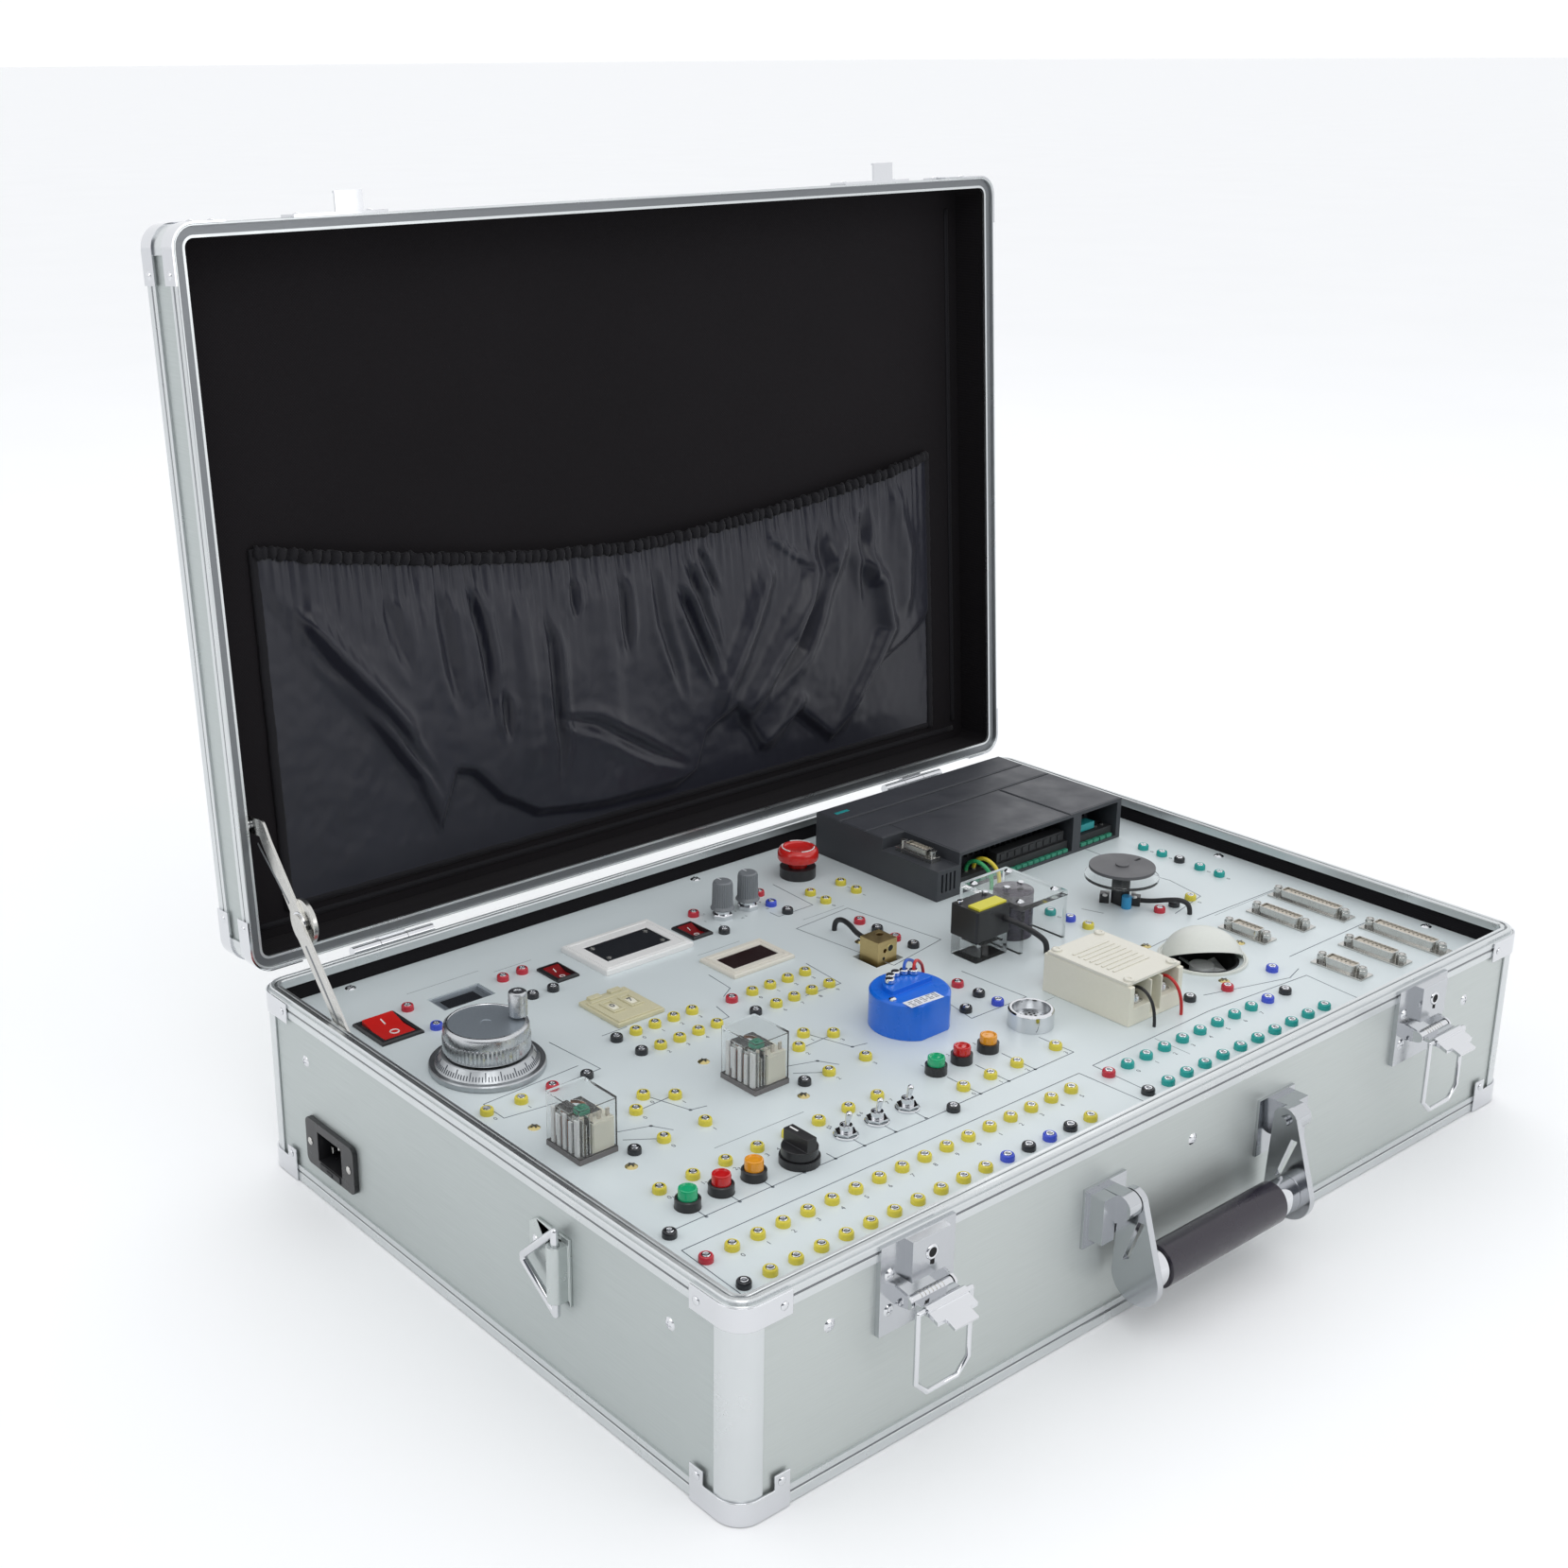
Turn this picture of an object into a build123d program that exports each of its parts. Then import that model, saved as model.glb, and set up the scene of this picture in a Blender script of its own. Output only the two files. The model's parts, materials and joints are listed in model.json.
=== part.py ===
from build123d import *
import os
from math import atan2, cos, degrees, pi, radians, sin, sqrt, tan

# Programmable controller trainer in an aluminium-framed carry case, lid open.
# Frame: +X along the front edge, +Y from the latches to the hinges, +Z up.
# The origin is the centre of the underside of the base. Millimetres.

# Base of the case
case_w = 600.0
case_d = 400.0
lip_top = 110.0
corner_r = 12.0
skin = 1.2
board_t = 3.0
lining_t = 1.0
shoulder_drop = 2.2
rim_h = 8.3
lip_depth = 5.2
web_t = 3.4
edging_h = 10.1
foot_flange = 10.0
sole_t = 1.6
floor_t = 4.0
post_leg = 15.0
batten_w = 10.0
batten_h = 12.0

# Lid
lid_depth = 36.0
lid_gap = 0.4
lid_rim_h = 8.3
lid_rim_w = 7.0
lid_web_t = 1.6
lid_edge_h = 10.1
lid_lining_t = 2.0
open_angle = 94.1
hinge_out = 4.5

# Pocket in the lid
pocket_end = 40.0
pocket_top = 195.0
pocket_sag = 34.0
pocket_low = 22.0
pocket_mouth = 8.0
pocket_bulge = 14.0

# Hinges
hinge_end = 88.0
hinge_len = 54.0
hinge_pin_r = 1.5
knuckle_r = 3.2
leaf_t = 1.2
leaf_h = 15.0

# Control panel
panel_t = 3.0
panel_drop = 15.0
panel_gap = 0.3

# Jacks
jack_r = 3.5
jack_h = 3.6
jack_bore_r = 1.0
jack_bore_depth = 12.0
shank_r = 2.7
shank_len = 11.0
nut_r = 4.3
nut_h = 2.2
hole_gap = 0.3
pitch = 15.0

# Running clearances
run_gap = 0.05
move_gap = 0.4
seat_gap = 0.3

# Corner caps, screws and rivets
cap_t = 1.0
cap_span = 30.0
cap_h = 12.0
tab_h = 19.0
rivet_r = 2.4
rivet_h = 1.0
rivet_in = 25.0
screw_r = 3.2
screw_h = 1.2
screw_z = 79.0

# Handle
bracket_x = 68.0
bracket_w = 30.0
bracket_h = 32.0
bracket_z = 66.0
handle_pivot_out = 12.0
handle_pivot_z = 74.0
handle_pin_r = 2.6
arm_t = 4.0
arm_top_r = 7.0
arm_low_r = 14.0
grip_out = 17.0
grip_z = 34.0
grip_len = 92.0
grip_ry = 10.0
grip_rz = 11.5
collar_len = 6.0

# Latches
latch_end = 103.0
latch_w = 46.0
plate_t = 1.6
latch_low = 62.0
latch_high = 106.5
lock_out = 8.0
lever_out = 9.2
lever_z = 80.0
lever_w = 25.0
lever_len = 22.0
lever_t = 2.0
lever_pin_r = 1.4
bail_off = 9.0
bail_len = 42.0
bail_w = 33.0
bail_wire_r = 1.3
strike_w = 57.0

# Strap rings
strap_y = -80.0
strap_tube_r = 4.2
strap_low = 51.0
strap_high = 86.0
ring_reach = 25.0
tube_short = 3.0
ring_wire_r = 2.0

# Lid stay
stay_base_y = 119.3
stay_base_z = 100.9
stay_mid_y = 166.6
stay_mid_z = 153.4
stay_lid_y = 218.1
stay_lid_z = 194.8
stay_w = 10.8
stay_t = 1.5
stay_in = 7.4
stay_disc_r = 13.0
stay_disc_t = 3.0

# Mains inlet
inlet_y = 130.0
inlet_z = 34.0
inlet_w = 50.0
inlet_h = 28.0
inlet_body_w = 28.0
inlet_body_h = 21.0
inlet_deep = 26.0
socket_w = 24.4
socket_h = 17.0
socket_deep = 16.5

# Power supply on the floor of the case
psu_x = -180.0
psu_y = 0.0
psu_w = 160.0
psu_d = 98.0
psu_h = 38.0
psu_wall = 1.5

# The controls are laid out for this size of case, and spread with it
layout_w = 600.0
layout_d = 400.0


def spot(x, y):
    return (x * case_w / layout_w, y * case_d / layout_d)


def spots(*places):
    return [spot(x, y) for x, y in places]


# Control positions on the panel
main_rocker = spot(-261.0, 131.0)
small_rockers = spots((-149.0, 130.0), (-53.0, 126.0))
ac_meter = spot(-208.0, 140.0)
dc_meter = spot(-98.0, 131.0)
digital_meter = spot(-54.0, 75.0)
thumbwheel = spot(-149.0, 71.0)
wheel_at = spot(-243.0, 63.0)
stop_at = spot(55.0, 151.0)
pot_at = spots((-25.0, 131.0), (-4.0, 132.0))
buttons_at = spots((-250.0, -108.0), (-230.0, -108.0), (-210.0, -108.0))
selector_at = spot(-184.0, -111.0)
toggles_at = spots((-150.0, -107.0), (-129.0, -107.0), (-108.0, -107.0))
lamps_at = spots((-70.0, -90.0), (-51.0, -90.0), (-31.0, -90.0))
relays_at = spots((-255.5, -35.5), (-147.0, -37.0))
buzzer_at = spot(9.0, -84.0)
heater_at = spot(7.0, 30.0)
puck_at = spot(-40.0, -41.0)
sensor_at = spot(56.0, -3.0)
stand_at = spot(92.0, 4.0)
disc_at = spot(177.0, -8.0)
ssr_at = spot(68.5, -90.0)
hood_at = spot(150.0, -90.0)
plc_at = spot(178.0, 118.5)

# Sizes of the panel components
wheel_r = 23.0
wheel_flange_r = 30.6
wheel_low = 10.0
wheel_top = 25.5
wheel_shaft_r = 3.0
knob_r = 5.0
knob_top = 40.0
knob_off = (16.0, -6.0)
knob_pin_r = 1.5
stop_r = 13.0
stop_top = 20.0
stop_travel = 4.0
pot_r = 7.0
pot_top = 24.0
button_r = 4.6
button_top = 10.0
button_travel = 2.5
button_collar_r = 6.2
button_collar_h = 5.0
lamp_r = 4.6
lamp_top = 9.5
selector_r = 9.0
selector_top = 15.6
toggle_len = 9.0
toggle_tilt = 12.0
relay_w = 23.0
relay_d = 27.0
relay_h = 29.0
cover_wall = 1.0
plc_w = 174.0
plc_d = 109.0
plc_h = 28.0
plc_wall = 2.0
plc_bay_d = 24.0
plc_notch_w = 19.0
plc_notch_d = 48.0
plc_ledge_h = 20.0
plc_sink = 42.0
puck_r = 22.0
puck_h = 21.0
heater_w = 15.0
heater_h = 13.0
stand_w = 40.0
stand_d = 48.0
stand_h = 30.0
sheet_t = 3.0
disc_r = 20.0
disc_z = 23.0
disc_t = 2.0
clear_z = 17.0
post_w = 8.0
sensor_half = 12.2
ssr_w = 45.0
ssr_d = 60.0
ssr_h = 23.0
hood_r = 23.0
hood_h = 18.0
hood_turn = -38.0
hood_open = 33.0
fan_r = 17.5
buzzer_r = 12.5
buzzer_h = 10.0
dsub_h = 4.0
wire_r = 0.9

# Values worked out from the sizes above
half_w = case_w / 2
half_d = case_d / 2
hinge_x = half_w - hinge_end
latch_x = half_w - latch_end
shoulder_z = lip_top - shoulder_drop
web_z = lip_top - web_t
rim_z = shoulder_z - rim_h
inner = skin + board_t + lining_t
board_out = skin
board_in = skin + board_t
panel_z = lip_top - panel_drop
panel_low = panel_z - panel_t
front_face = -half_d + skin
left_face = -half_w + skin
lid_low = shoulder_z + lid_gap
lid_top = lid_low + lid_depth
lid_web_z = lip_top + lid_gap
lid_inner = board_in + lid_lining_t
hinge_y = half_d + hinge_out
pocket_half = half_w - pocket_end
plc_x0 = plc_at[0] - plc_w / 2
plc_x1 = plc_at[0] + plc_w / 2
plc_y0 = plc_at[1] - plc_d / 2
plc_y1 = plc_at[1] + plc_d / 2
plc_notch_x = plc_x0 + plc_notch_w
plc_notch_y = plc_y0 + plc_notch_d
hinge_z = (shoulder_z + lid_low) / 2


def block(x0, x1, y0, y1, z0, z1):
    solid = Box(x1 - x0, y1 - y0, z1 - z0)
    return Pos((x0 + x1) / 2, (y0 + y1) / 2, (z0 + z1) / 2) * solid


def rod_z(x, y, z0, z1, r):
    return Pos(x, y, (z0 + z1) / 2) * Cylinder(r, z1 - z0)


def rod_x(x0, x1, y, z, r):
    return Pos((x0 + x1) / 2, y, z) * Rot(0, 90, 0) * Cylinder(r, x1 - x0)


def rod_y(x, y0, y1, z, r):
    return Pos(x, (y0 + y1) / 2, z) * Rot(90, 0, 0) * Cylinder(r, y1 - y0)


def prism_z(points, z0, z1):
    face = Polygon(*points, align=None)
    return Pos(0, 0, z0) * extrude(face, amount=z1 - z0, dir=(0, 0, 1))


def prism_x(points, x0, x1):
    face = Plane.YZ.offset(x0) * Polygon(*points, align=None)
    return extrude(face, amount=x1 - x0, dir=(1, 0, 0))


def case_ring(d0, d1, z0, z1):
    outer = RectangleRounded(case_w - 2 * d0, case_d - 2 * d0, corner_r - d0)
    hole = RectangleRounded(case_w - 2 * d1, case_d - 2 * d1, max(corner_r - d1, 1.0))
    return Pos(0, 0, z0) * extrude(outer - hole, amount=z1 - z0)


def four_corners(span, z0, z1, grow=4.0):
    shapes = []
    for sx in (-1, 1):
        for sy in (-1, 1):
            xs = sorted((sx * (half_w - span), sx * (half_w + grow)))
            ys = sorted((sy * (half_d - span), sy * (half_d + grow)))
            shapes.append(block(xs[0], xs[1], ys[0], ys[1], z0, z1))
    return shapes


def mitred(ring, z0, z1):
    reach = half_w - half_d
    grow = 4.0
    a = half_w + grow
    b = half_d + grow
    front = prism_z([(-a, -b), (a, -b), (reach, 0), (-reach, 0)], z0, z1)
    back = prism_z([(-a, b), (-reach, 0), (reach, 0), (a, b)], z0, z1)
    left = prism_z([(-a, -b), (-reach, 0), (-a, b)], z0, z1)
    right = prism_z([(a, -b), (a, b), (reach, 0)], z0, z1)
    return [ring & piece for piece in (front, back, left, right)]


def solids_of(shape):
    if isinstance(shape, (list, tuple)):
        found = []
        for item in shape:
            found += solids_of(item)
        return found
    return list(shape.solids())


def save(name, *shapes):
    solids = solids_of(list(shapes))
    total = sum(s.volume for s in solids)
    print(name, len(solids), "solids", round(total, 1), "mm3")
    shape = solids[0] if len(solids) == 1 else Compound(children=solids)
    export_step(shape, "parts/" + name + ".step")


def capsule(ay, az, ar, by, bz, br, x0, x1):
    a = Pos(ay, az) * Circle(ar)
    b = Pos(by, bz) * Circle(br)
    face = make_hull((a + b).edges())
    return extrude(Plane.YZ.offset(x0) * face, amount=x1 - x0, dir=(1, 0, 0))


def bar_yz(points, width, x0, x1):
    total = None
    for start, end in zip(points[:-1], points[1:]):
        link = capsule(start[0], start[1], width / 2, end[0], end[1], width / 2, x0, x1)
        total = link if total is None else total + link
    return total


def dome(x, y, z, r, h):
    big = (r * r + h * h) / (2 * h)
    ball = Pos(x, y, z + h - big) * Sphere(big)
    return ball & block(x - r - 1, x + r + 1, y - r - 1, y + r + 1, z, z + h + 1)


def to_front(shape, x, y, z):
    return Pos(x, y, z) * Rot(90, 0, 0) * shape


def to_left(shape, x, y, z):
    return Pos(x, y, z) * Rot(0, -90, 0) * shape


def to_right(shape, x, y, z):
    return Pos(x, y, z) * Rot(0, 90, 0) * shape


def to_back(shape, x, y, z):
    return Pos(x, y, z) * Rot(-90, 0, 0) * shape


def opened(shape):
    turn = Pos(0, hinge_y, hinge_z) * Rot(-open_angle, 0, 0) * Pos(0, -hinge_y, -hinge_z)
    if isinstance(shape, (list, tuple)):
        return [turn * item for item in solids_of(shape)]
    return turn * shape


def rivet(r=None, h=None):
    return dome(0, 0, 0, rivet_r if r is None else r, rivet_h if h is None else h)


# Where everything that passes through the panel stands

def row(x, y, count, step):
    return [(x + i * step, y) for i in range(count)]


def yellow_places():
    places = [(-272, 21), (-252, 20)]
    for y in (43, 22):
        places += row(-161, y, 4, 13)
    for y in (40, 20):
        places += row(-81, y, 4, 13.3)
    places += [(40, 123), (39, 108), (66, 123), (65, 108)]
    for x, y in ((-202, -15), (-94, -16)):
        places += [(x, y), (x + 12.5, y - 10), (x - 12.5, y - 10), (x + 7, y - 40), (x - 19, y - 40)]
    places += row(-252, -90, 8, 20)
    places += [(-72, -111), (-52, -111), (-32, -111), (-2, -111)]
    places += row(-257, -147, 16, pitch)
    places += row(-257, -172, 10, pitch)
    places += [(-47, -172), (133, -20), (215, -32)]
    return spots(*places)


def red_places():
    places = [(-240, 145), (-178, 143), (-164, 144), (-37, 144), (-232, 21), (-96, 40)]
    places += [(15, 143), (33, 72), (32, 41), (14, -26), (-272, -147), (185, -32)]
    places += [(126, -125), (-4, -148)]
    return spots(*places)


def black_places():
    places = [(-178, 114), (-164, 114), (-39, 113), (10, 111), (-174, 43), (-173, 23)]
    places += [(-211, 20), (-96, 20), (-239, -55), (-130, -56), (33, 57), (33, 27)]
    places += [(14, -42), (-6, -51), (-272, -122), (-272, -172), (-92, -123), (-92, -172)]
    places += [(-62, -172), (199, -32), (260, 11), (99, -120), (147, -148), (-4, -173)]
    return spots(*places)


def blue_places():
    places = [(-240, 116), (10, 126), (14, -56), (-107, -172), (-77, -172), (133, -6)]
    places += [(166, -126), (131, -148)]
    return spots(*places)


def green_places():
    places = [(260, 40), (260, 25), (260, -5), (260, -20), (132, 8)]
    places += row(11, -148, 8, pitch)
    places += row(12, -173, 10, pitch)
    return spots(*places)


def panel_screws():
    return spots((-250, 189), (1, 188), (288, 1), (289.5, -147), (-289.5, -60), (120, -189))


def brass_screws():
    places = [(-262, -5), (-154, -5), (-248, -64), (-139, -65), (14, 52)]
    places += [(184, -91), (134, -117), (138, -59)]
    return spots(*places)


def jack():
    body = Cylinder(jack_r, jack_h)
    body = Pos(0, 0, jack_h / 2) * body
    body = chamfer(body.edges().sort_by(Axis.Z)[-1], 0.6)
    shank = rod_z(0, 0, -shank_len, 0, shank_r)
    nut = Pos(0, 0, -panel_t - nut_h) * extrude(RegularPolygon(nut_r, 6), amount=nut_h)
    whole = body + shank + nut
    return whole - rod_z(0, 0, jack_h - jack_bore_depth, jack_h + 1, jack_bore_r)


def jacks(places):
    one = jack()
    return [Pos(x, y, panel_z) * one for x, y in places]


# Base of the case

def base_boards():
    left = block(-half_w + board_out, -half_w + board_in, -half_d + corner_r,
                 half_d - corner_r, sole_t, web_z)
    slot = block(left_face - 1, left_face + board_t + 1, inlet_y - inlet_body_w / 2 - seat_gap,
                 inlet_y + inlet_body_w / 2 + seat_gap, inlet_z - inlet_body_h / 2 - seat_gap,
                 inlet_z + inlet_body_h / 2 + seat_gap)
    left = left - slot
    right = block(half_w - board_in, half_w - board_out, -half_d + corner_r,
                  half_d - corner_r, sole_t, web_z)
    front = block(-half_w + corner_r, half_w - corner_r, -half_d + board_out,
                  -half_d + board_in, sole_t, web_z)
    back = block(-half_w + corner_r, half_w - corner_r, half_d - board_in,
                 half_d - board_out, sole_t, web_z)
    floor = RectangleRounded(case_w - 2 * board_in, case_d - 2 * board_in, corner_r - board_in)
    floor = Pos(0, 0, sole_t) * extrude(floor, amount=floor_t)
    reach = foot_flange + seat_gap
    sole = RectangleRounded(case_w - 2 * reach, case_d - 2 * reach, max(corner_r - reach, 1.0))
    floor = floor + extrude(sole, amount=sole_t)
    return [left, right, front, back, floor]


def base_frame():
    rim = case_ring(0, skin, rim_z, shoulder_z)
    rim = rim + case_ring(skin, inner, web_z, lip_top)
    rim = rim + case_ring(board_in, inner, web_z - 1.8, web_z)
    edging = case_ring(0, skin, 0, edging_h)
    edging = edging + case_ring(skin, foot_flange, 0, sole_t)
    outside = case_ring(0, skin, edging_h, rim_z)
    inside = case_ring(skin, board_in, sole_t, web_z)
    posts = []
    for leg, core in zip(four_corners(post_leg, 0, lip_top), four_corners(corner_r, 0, lip_top)):
        posts.append((outside & leg) + (inside & core))
    return mitred(rim, 0, lip_top + 1) + mitred(edging, -1, lip_top) + posts


def base_lining():
    wall = case_ring(board_in, inner, sole_t + floor_t, web_z - 1.8)
    slot = block(-half_w + board_in - 1, -half_w + inner + 1,
                 inlet_y - inlet_body_w / 2 - seat_gap, inlet_y + inlet_body_w / 2 + seat_gap,
                 inlet_z - inlet_body_h / 2 - seat_gap, inlet_z + inlet_body_h / 2 + seat_gap)
    wall = wall - slot
    floor = RectangleRounded(case_w - 2 * inner, case_d - 2 * inner, corner_r - inner)
    floor = Pos(0, 0, sole_t + floor_t) * extrude(floor, amount=lining_t)
    low = panel_low - batten_h
    ax = half_w - inner
    ay = half_d - inner
    cut = corner_r
    front = block(-ax + cut, ax - cut, -ay, -ay + batten_w, low, panel_low)
    back = block(-ax + cut, ax - cut, ay - batten_w, ay, low, panel_low)
    left = block(-ax, -ax + batten_w, -ay + cut, ay - cut, low, panel_low)
    right = block(ax - batten_w, ax, -ay + cut, ay - cut, low, panel_low)
    return [wall, floor, front, back, left, right]


def base_caps():
    upper = case_ring(-cap_t, 0, shoulder_z - cap_h, shoulder_z)
    lower = case_ring(-cap_t, 0, 0, cap_h)
    tabs = case_ring(-cap_t, 0, cap_h, tab_h)
    pieces = []
    near = four_corners(cap_span, -1, lip_top)
    tab_zone = four_corners(cap_span - 9, -1, lip_top)
    for big, small in zip(near, tab_zone):
        pieces.append(upper & big)
        pieces.append((lower & big) + ((tabs & big) - small))
    return pieces + base_rivets()


def base_rivets():
    pieces = []
    one = rivet()
    high = shoulder_z - cap_h / 2
    low = tab_h - rivet_r - 1.5
    for z in (high, low):
        for s in (-1, 1):
            x = s * (half_w - rivet_in)
            y = s * (half_d - rivet_in)
            pieces.append(to_front(one, x, -half_d - cap_t, z))
            pieces.append(to_back(one, x, half_d + cap_t, z))
            pieces.append(to_left(one, -half_w - cap_t, y, z))
            pieces.append(to_right(one, half_w + cap_t, y, z))
    return pieces


def screws():
    pieces = []
    head = dome(0, 0, 0, screw_r, screw_h)
    slot = block(-2, 2, -0.4, 0.4, screw_h - 0.5, screw_h + 1)
    head = head - slot - (Rot(0, 0, 90) * slot)
    side_x, side_y = spot(247, 155)
    for x in (-side_x, 0, side_x):
        pieces.append(to_front(head, x, front_face, screw_z))
        pieces.append(to_back(head, x, -front_face, screw_z))
    for y in (-side_y, side_y):
        pieces.append(to_left(head, left_face, y, screw_z))
        pieces.append(to_right(head, -left_face, y, screw_z))
    for x, y in panel_screws() + brass_screws():
        pieces.append(Pos(x, y, panel_z) * head)
    return pieces


# Panel

def panel_cutouts():
    cuts = []
    low = panel_low - 1
    high = panel_z + 1
    for x, y in yellow_places() + red_places() + black_places() + blue_places() + green_places():
        cuts.append(rod_z(x, y, low, high, shank_r + hole_gap))
    x, y = main_rocker
    cuts.append(block(x - 11.3, x + 11.3, y - 13.8, y + 13.8, low, high))
    for x, y in small_rockers:
        cuts.append(block(x - 6.8, x + 6.8, y - 9.6, y + 9.6, low, high))
    x, y = ac_meter
    cuts.append(block(x - 17, x + 17, y - 9, y + 9, low, high))
    x, y = dc_meter
    cuts.append(block(x - 29, x + 29, y - 19, y + 19, low, high))
    x, y = digital_meter
    cuts.append(block(x - 20.3, x + 20.3, y - 12.8, y + 12.8, low, high))
    x, y = thumbwheel
    cuts.append(block(x - 13.8, x + 13.8, y - 15.3, y + 15.3, low, high))
    cuts.append(rod_z(wheel_at[0], wheel_at[1], low, high, 12.3))
    cuts.append(rod_z(stop_at[0], stop_at[1], low, high, 8.3))
    for x, y in pot_at:
        cuts.append(rod_z(x, y, low, high, 4.3))
    for x, y in buttons_at:
        cuts.append(rod_z(x, y, low, high, button_r + 1.5 + hole_gap))
    for x, y in lamps_at + toggles_at:
        cuts.append(rod_z(x, y, low, high, 3.3 + hole_gap))
    cuts.append(rod_z(selector_at[0], selector_at[1], low, high, 5.3))
    x, y = heater_at
    cuts.append(block(x - 11, x + 11, y - 10, y + 10, low, high))
    cuts.append(rod_z(hood_at[0], hood_at[1], low, high, fan_r + 3.0 + hole_gap))
    inset = plc_wall + 1
    cuts.append(block(plc_x0 + inset, plc_x1 - inset, plc_y0 + inset, plc_y1 - inset, low, high))
    return cuts


def control_panel():
    ax = half_w - inner - panel_gap
    ay = half_d - inner - panel_gap
    face = RectangleRounded(2 * ax, 2 * ay, max(corner_r - inner - panel_gap, 1.0))
    panel = Pos(0, 0, panel_low) * extrude(face, amount=panel_t)
    return panel - panel_cutouts()


# Mains inlet and power supply

def mains_inlet():
    face = left_face
    half_y = inlet_w / 2
    half_z = inlet_h / 2
    flange = block(face - 3, face, inlet_y - half_y, inlet_y + half_y,
                   inlet_z - half_z, inlet_z + half_z)
    flange = fillet(flange.edges().filter_by(Axis.X), 4)
    body = block(face, face + inlet_deep, inlet_y - inlet_body_w / 2,
                 inlet_y + inlet_body_w / 2, inlet_z - inlet_body_h / 2,
                 inlet_z + inlet_body_h / 2)
    cavity = block(face - 4, face - 3 + socket_deep, inlet_y - socket_w / 2,
                   inlet_y + socket_w / 2, inlet_z - socket_h / 2, inlet_z + socket_h / 2)
    shell = flange + body - cavity
    pieces = [shell]
    floor = face - 3 + socket_deep
    for dy, dz in ((-7.0, -2.0), (7.0, -2.0), (0.0, 2.6)):
        pieces.append(block(floor - 11, floor, inlet_y + dy - 1, inlet_y + dy + 1,
                            inlet_z + dz - 2, inlet_z + dz + 2))
    for s in (-1, 1):
        head = dome(0, 0, 0, 2.6, 1.0)
        pieces.append(to_left(head, face - 3, inlet_y + s * (half_y - 5), inlet_z))
    return pieces


def power_supply():
    z0 = sole_t + floor_t + lining_t
    box = block(psu_x, psu_x + psu_w, psu_y, psu_y + psu_d, z0, z0 + psu_h)
    hollow = block(psu_x + psu_wall, psu_x + psu_w - psu_wall, psu_y + psu_wall,
                   psu_y + psu_d - psu_wall, z0 + psu_wall, z0 + psu_h - psu_wall)
    front = block(psu_x - 1, psu_x + 16, psu_y + psu_wall, psu_y + psu_d - psu_wall,
                  z0 + 14, z0 + psu_h + 1)
    case = box - hollow - front
    board = block(psu_x + psu_wall, psu_x + psu_w - psu_wall, psu_y + psu_wall,
                  psu_y + psu_d - psu_wall, z0 + psu_wall, z0 + psu_wall + 1.6)
    top = z0 + psu_wall + 1.6
    rail = block(psu_x + 3, psu_x + 14, psu_y + 10, psu_y + psu_d - 10, top, top + 11)
    coil = block(psu_x + 60, psu_x + 95, psu_y + 30, psu_y + 65, top, top + 28)
    cans = [rod_z(psu_x + 120, psu_y + 30 + 25 * i, top, top + 27, 9) for i in range(2)]
    return [case, board, rail, coil] + cans


# Hardware fixed to the outside of the base

def handle_bracket(side):
    x = side * bracket_x
    inward = -side
    y0 = front_face - plate_t
    plate = block(x - bracket_w / 2, x + bracket_w / 2, y0, front_face,
                  bracket_z - bracket_h / 2, bracket_z + bracket_h / 2)
    pivot_y = -half_d - handle_pivot_out
    xs = sorted((x - inward * 4.0, x + inward * 4.6))
    cheek = capsule(pivot_y, handle_pivot_z, 6.5, y0 + 0.5, handle_pivot_z - 4, 10.0,
                    xs[0], xs[1])
    keep = block(x - 30, x + 30, pivot_y - 20, front_face, 40, 100)
    cheek = cheek & keep
    xo = sorted((x - inward * 13.0, x - inward * 4.0))
    shoulder = block(xo[0], xo[1], pivot_y + 2, y0, handle_pivot_z - 18, handle_pivot_z + 6)
    pin_end = x + inward * (4.6 + move_gap + arm_t + 2.5)
    xp = sorted((x, pin_end))
    pin = rod_x(xp[0], xp[1], pivot_y, handle_pivot_z, handle_pin_r)
    return plate + cheek + shoulder + pin


def latch_plate(side):
    x = side * latch_x
    x0 = x - latch_w / 2
    x1 = x + latch_w / 2
    y0 = -half_d - plate_t
    plate = block(x0, x1, y0, -half_d, latch_low, latch_high)
    plate = plate + block(x0, x1, -half_d, front_face, latch_low, rim_z - seat_gap)
    lock_y = -half_d - (lock_out - skin)
    lock = block(x - 9, x + 14.5, lock_y, y0, lever_z + 6.5, latch_high)
    lock = lock - rod_y(x + 4, lock_y - 1, lock_y + 3, lever_z + 17, 2.0)
    lock = lock - block(x + 3.3, x + 4.7, lock_y - 1, lock_y + 3, lever_z + 11, lever_z + 17)
    pivot_y = -half_d - lever_out
    yoke = rod_x(x - lever_w / 2 - 1.7, x + lever_w / 2 + 1.7, pivot_y, lever_z, lever_pin_r)
    for s in (-1, 1):
        a = x + s * (lever_w / 2 + seat_gap)
        b = x + s * (lever_w / 2 + seat_gap + 1.4)
        xs = sorted((a, b))
        ear = capsule(pivot_y, lever_z, 3.0, y0, lever_z, 4.5, xs[0], xs[1])
        ear = ear & block(x0, x1, pivot_y - 10, y0, lever_z - 10, lever_z + 10)
        yoke = yoke + ear
    heads = []
    for dz in (12, 30):
        head = dome(0, 0, 0, 3.0, 1.2)
        slot = block(-2, 2, -0.4, 0.4, 0.7, 2)
        head = head - slot - (Rot(0, 0, 90) * slot)
        heads.append(to_front(head, x0 + 5.5, y0, latch_low + dz))
    return [plate, lock, yoke] + heads


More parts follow.
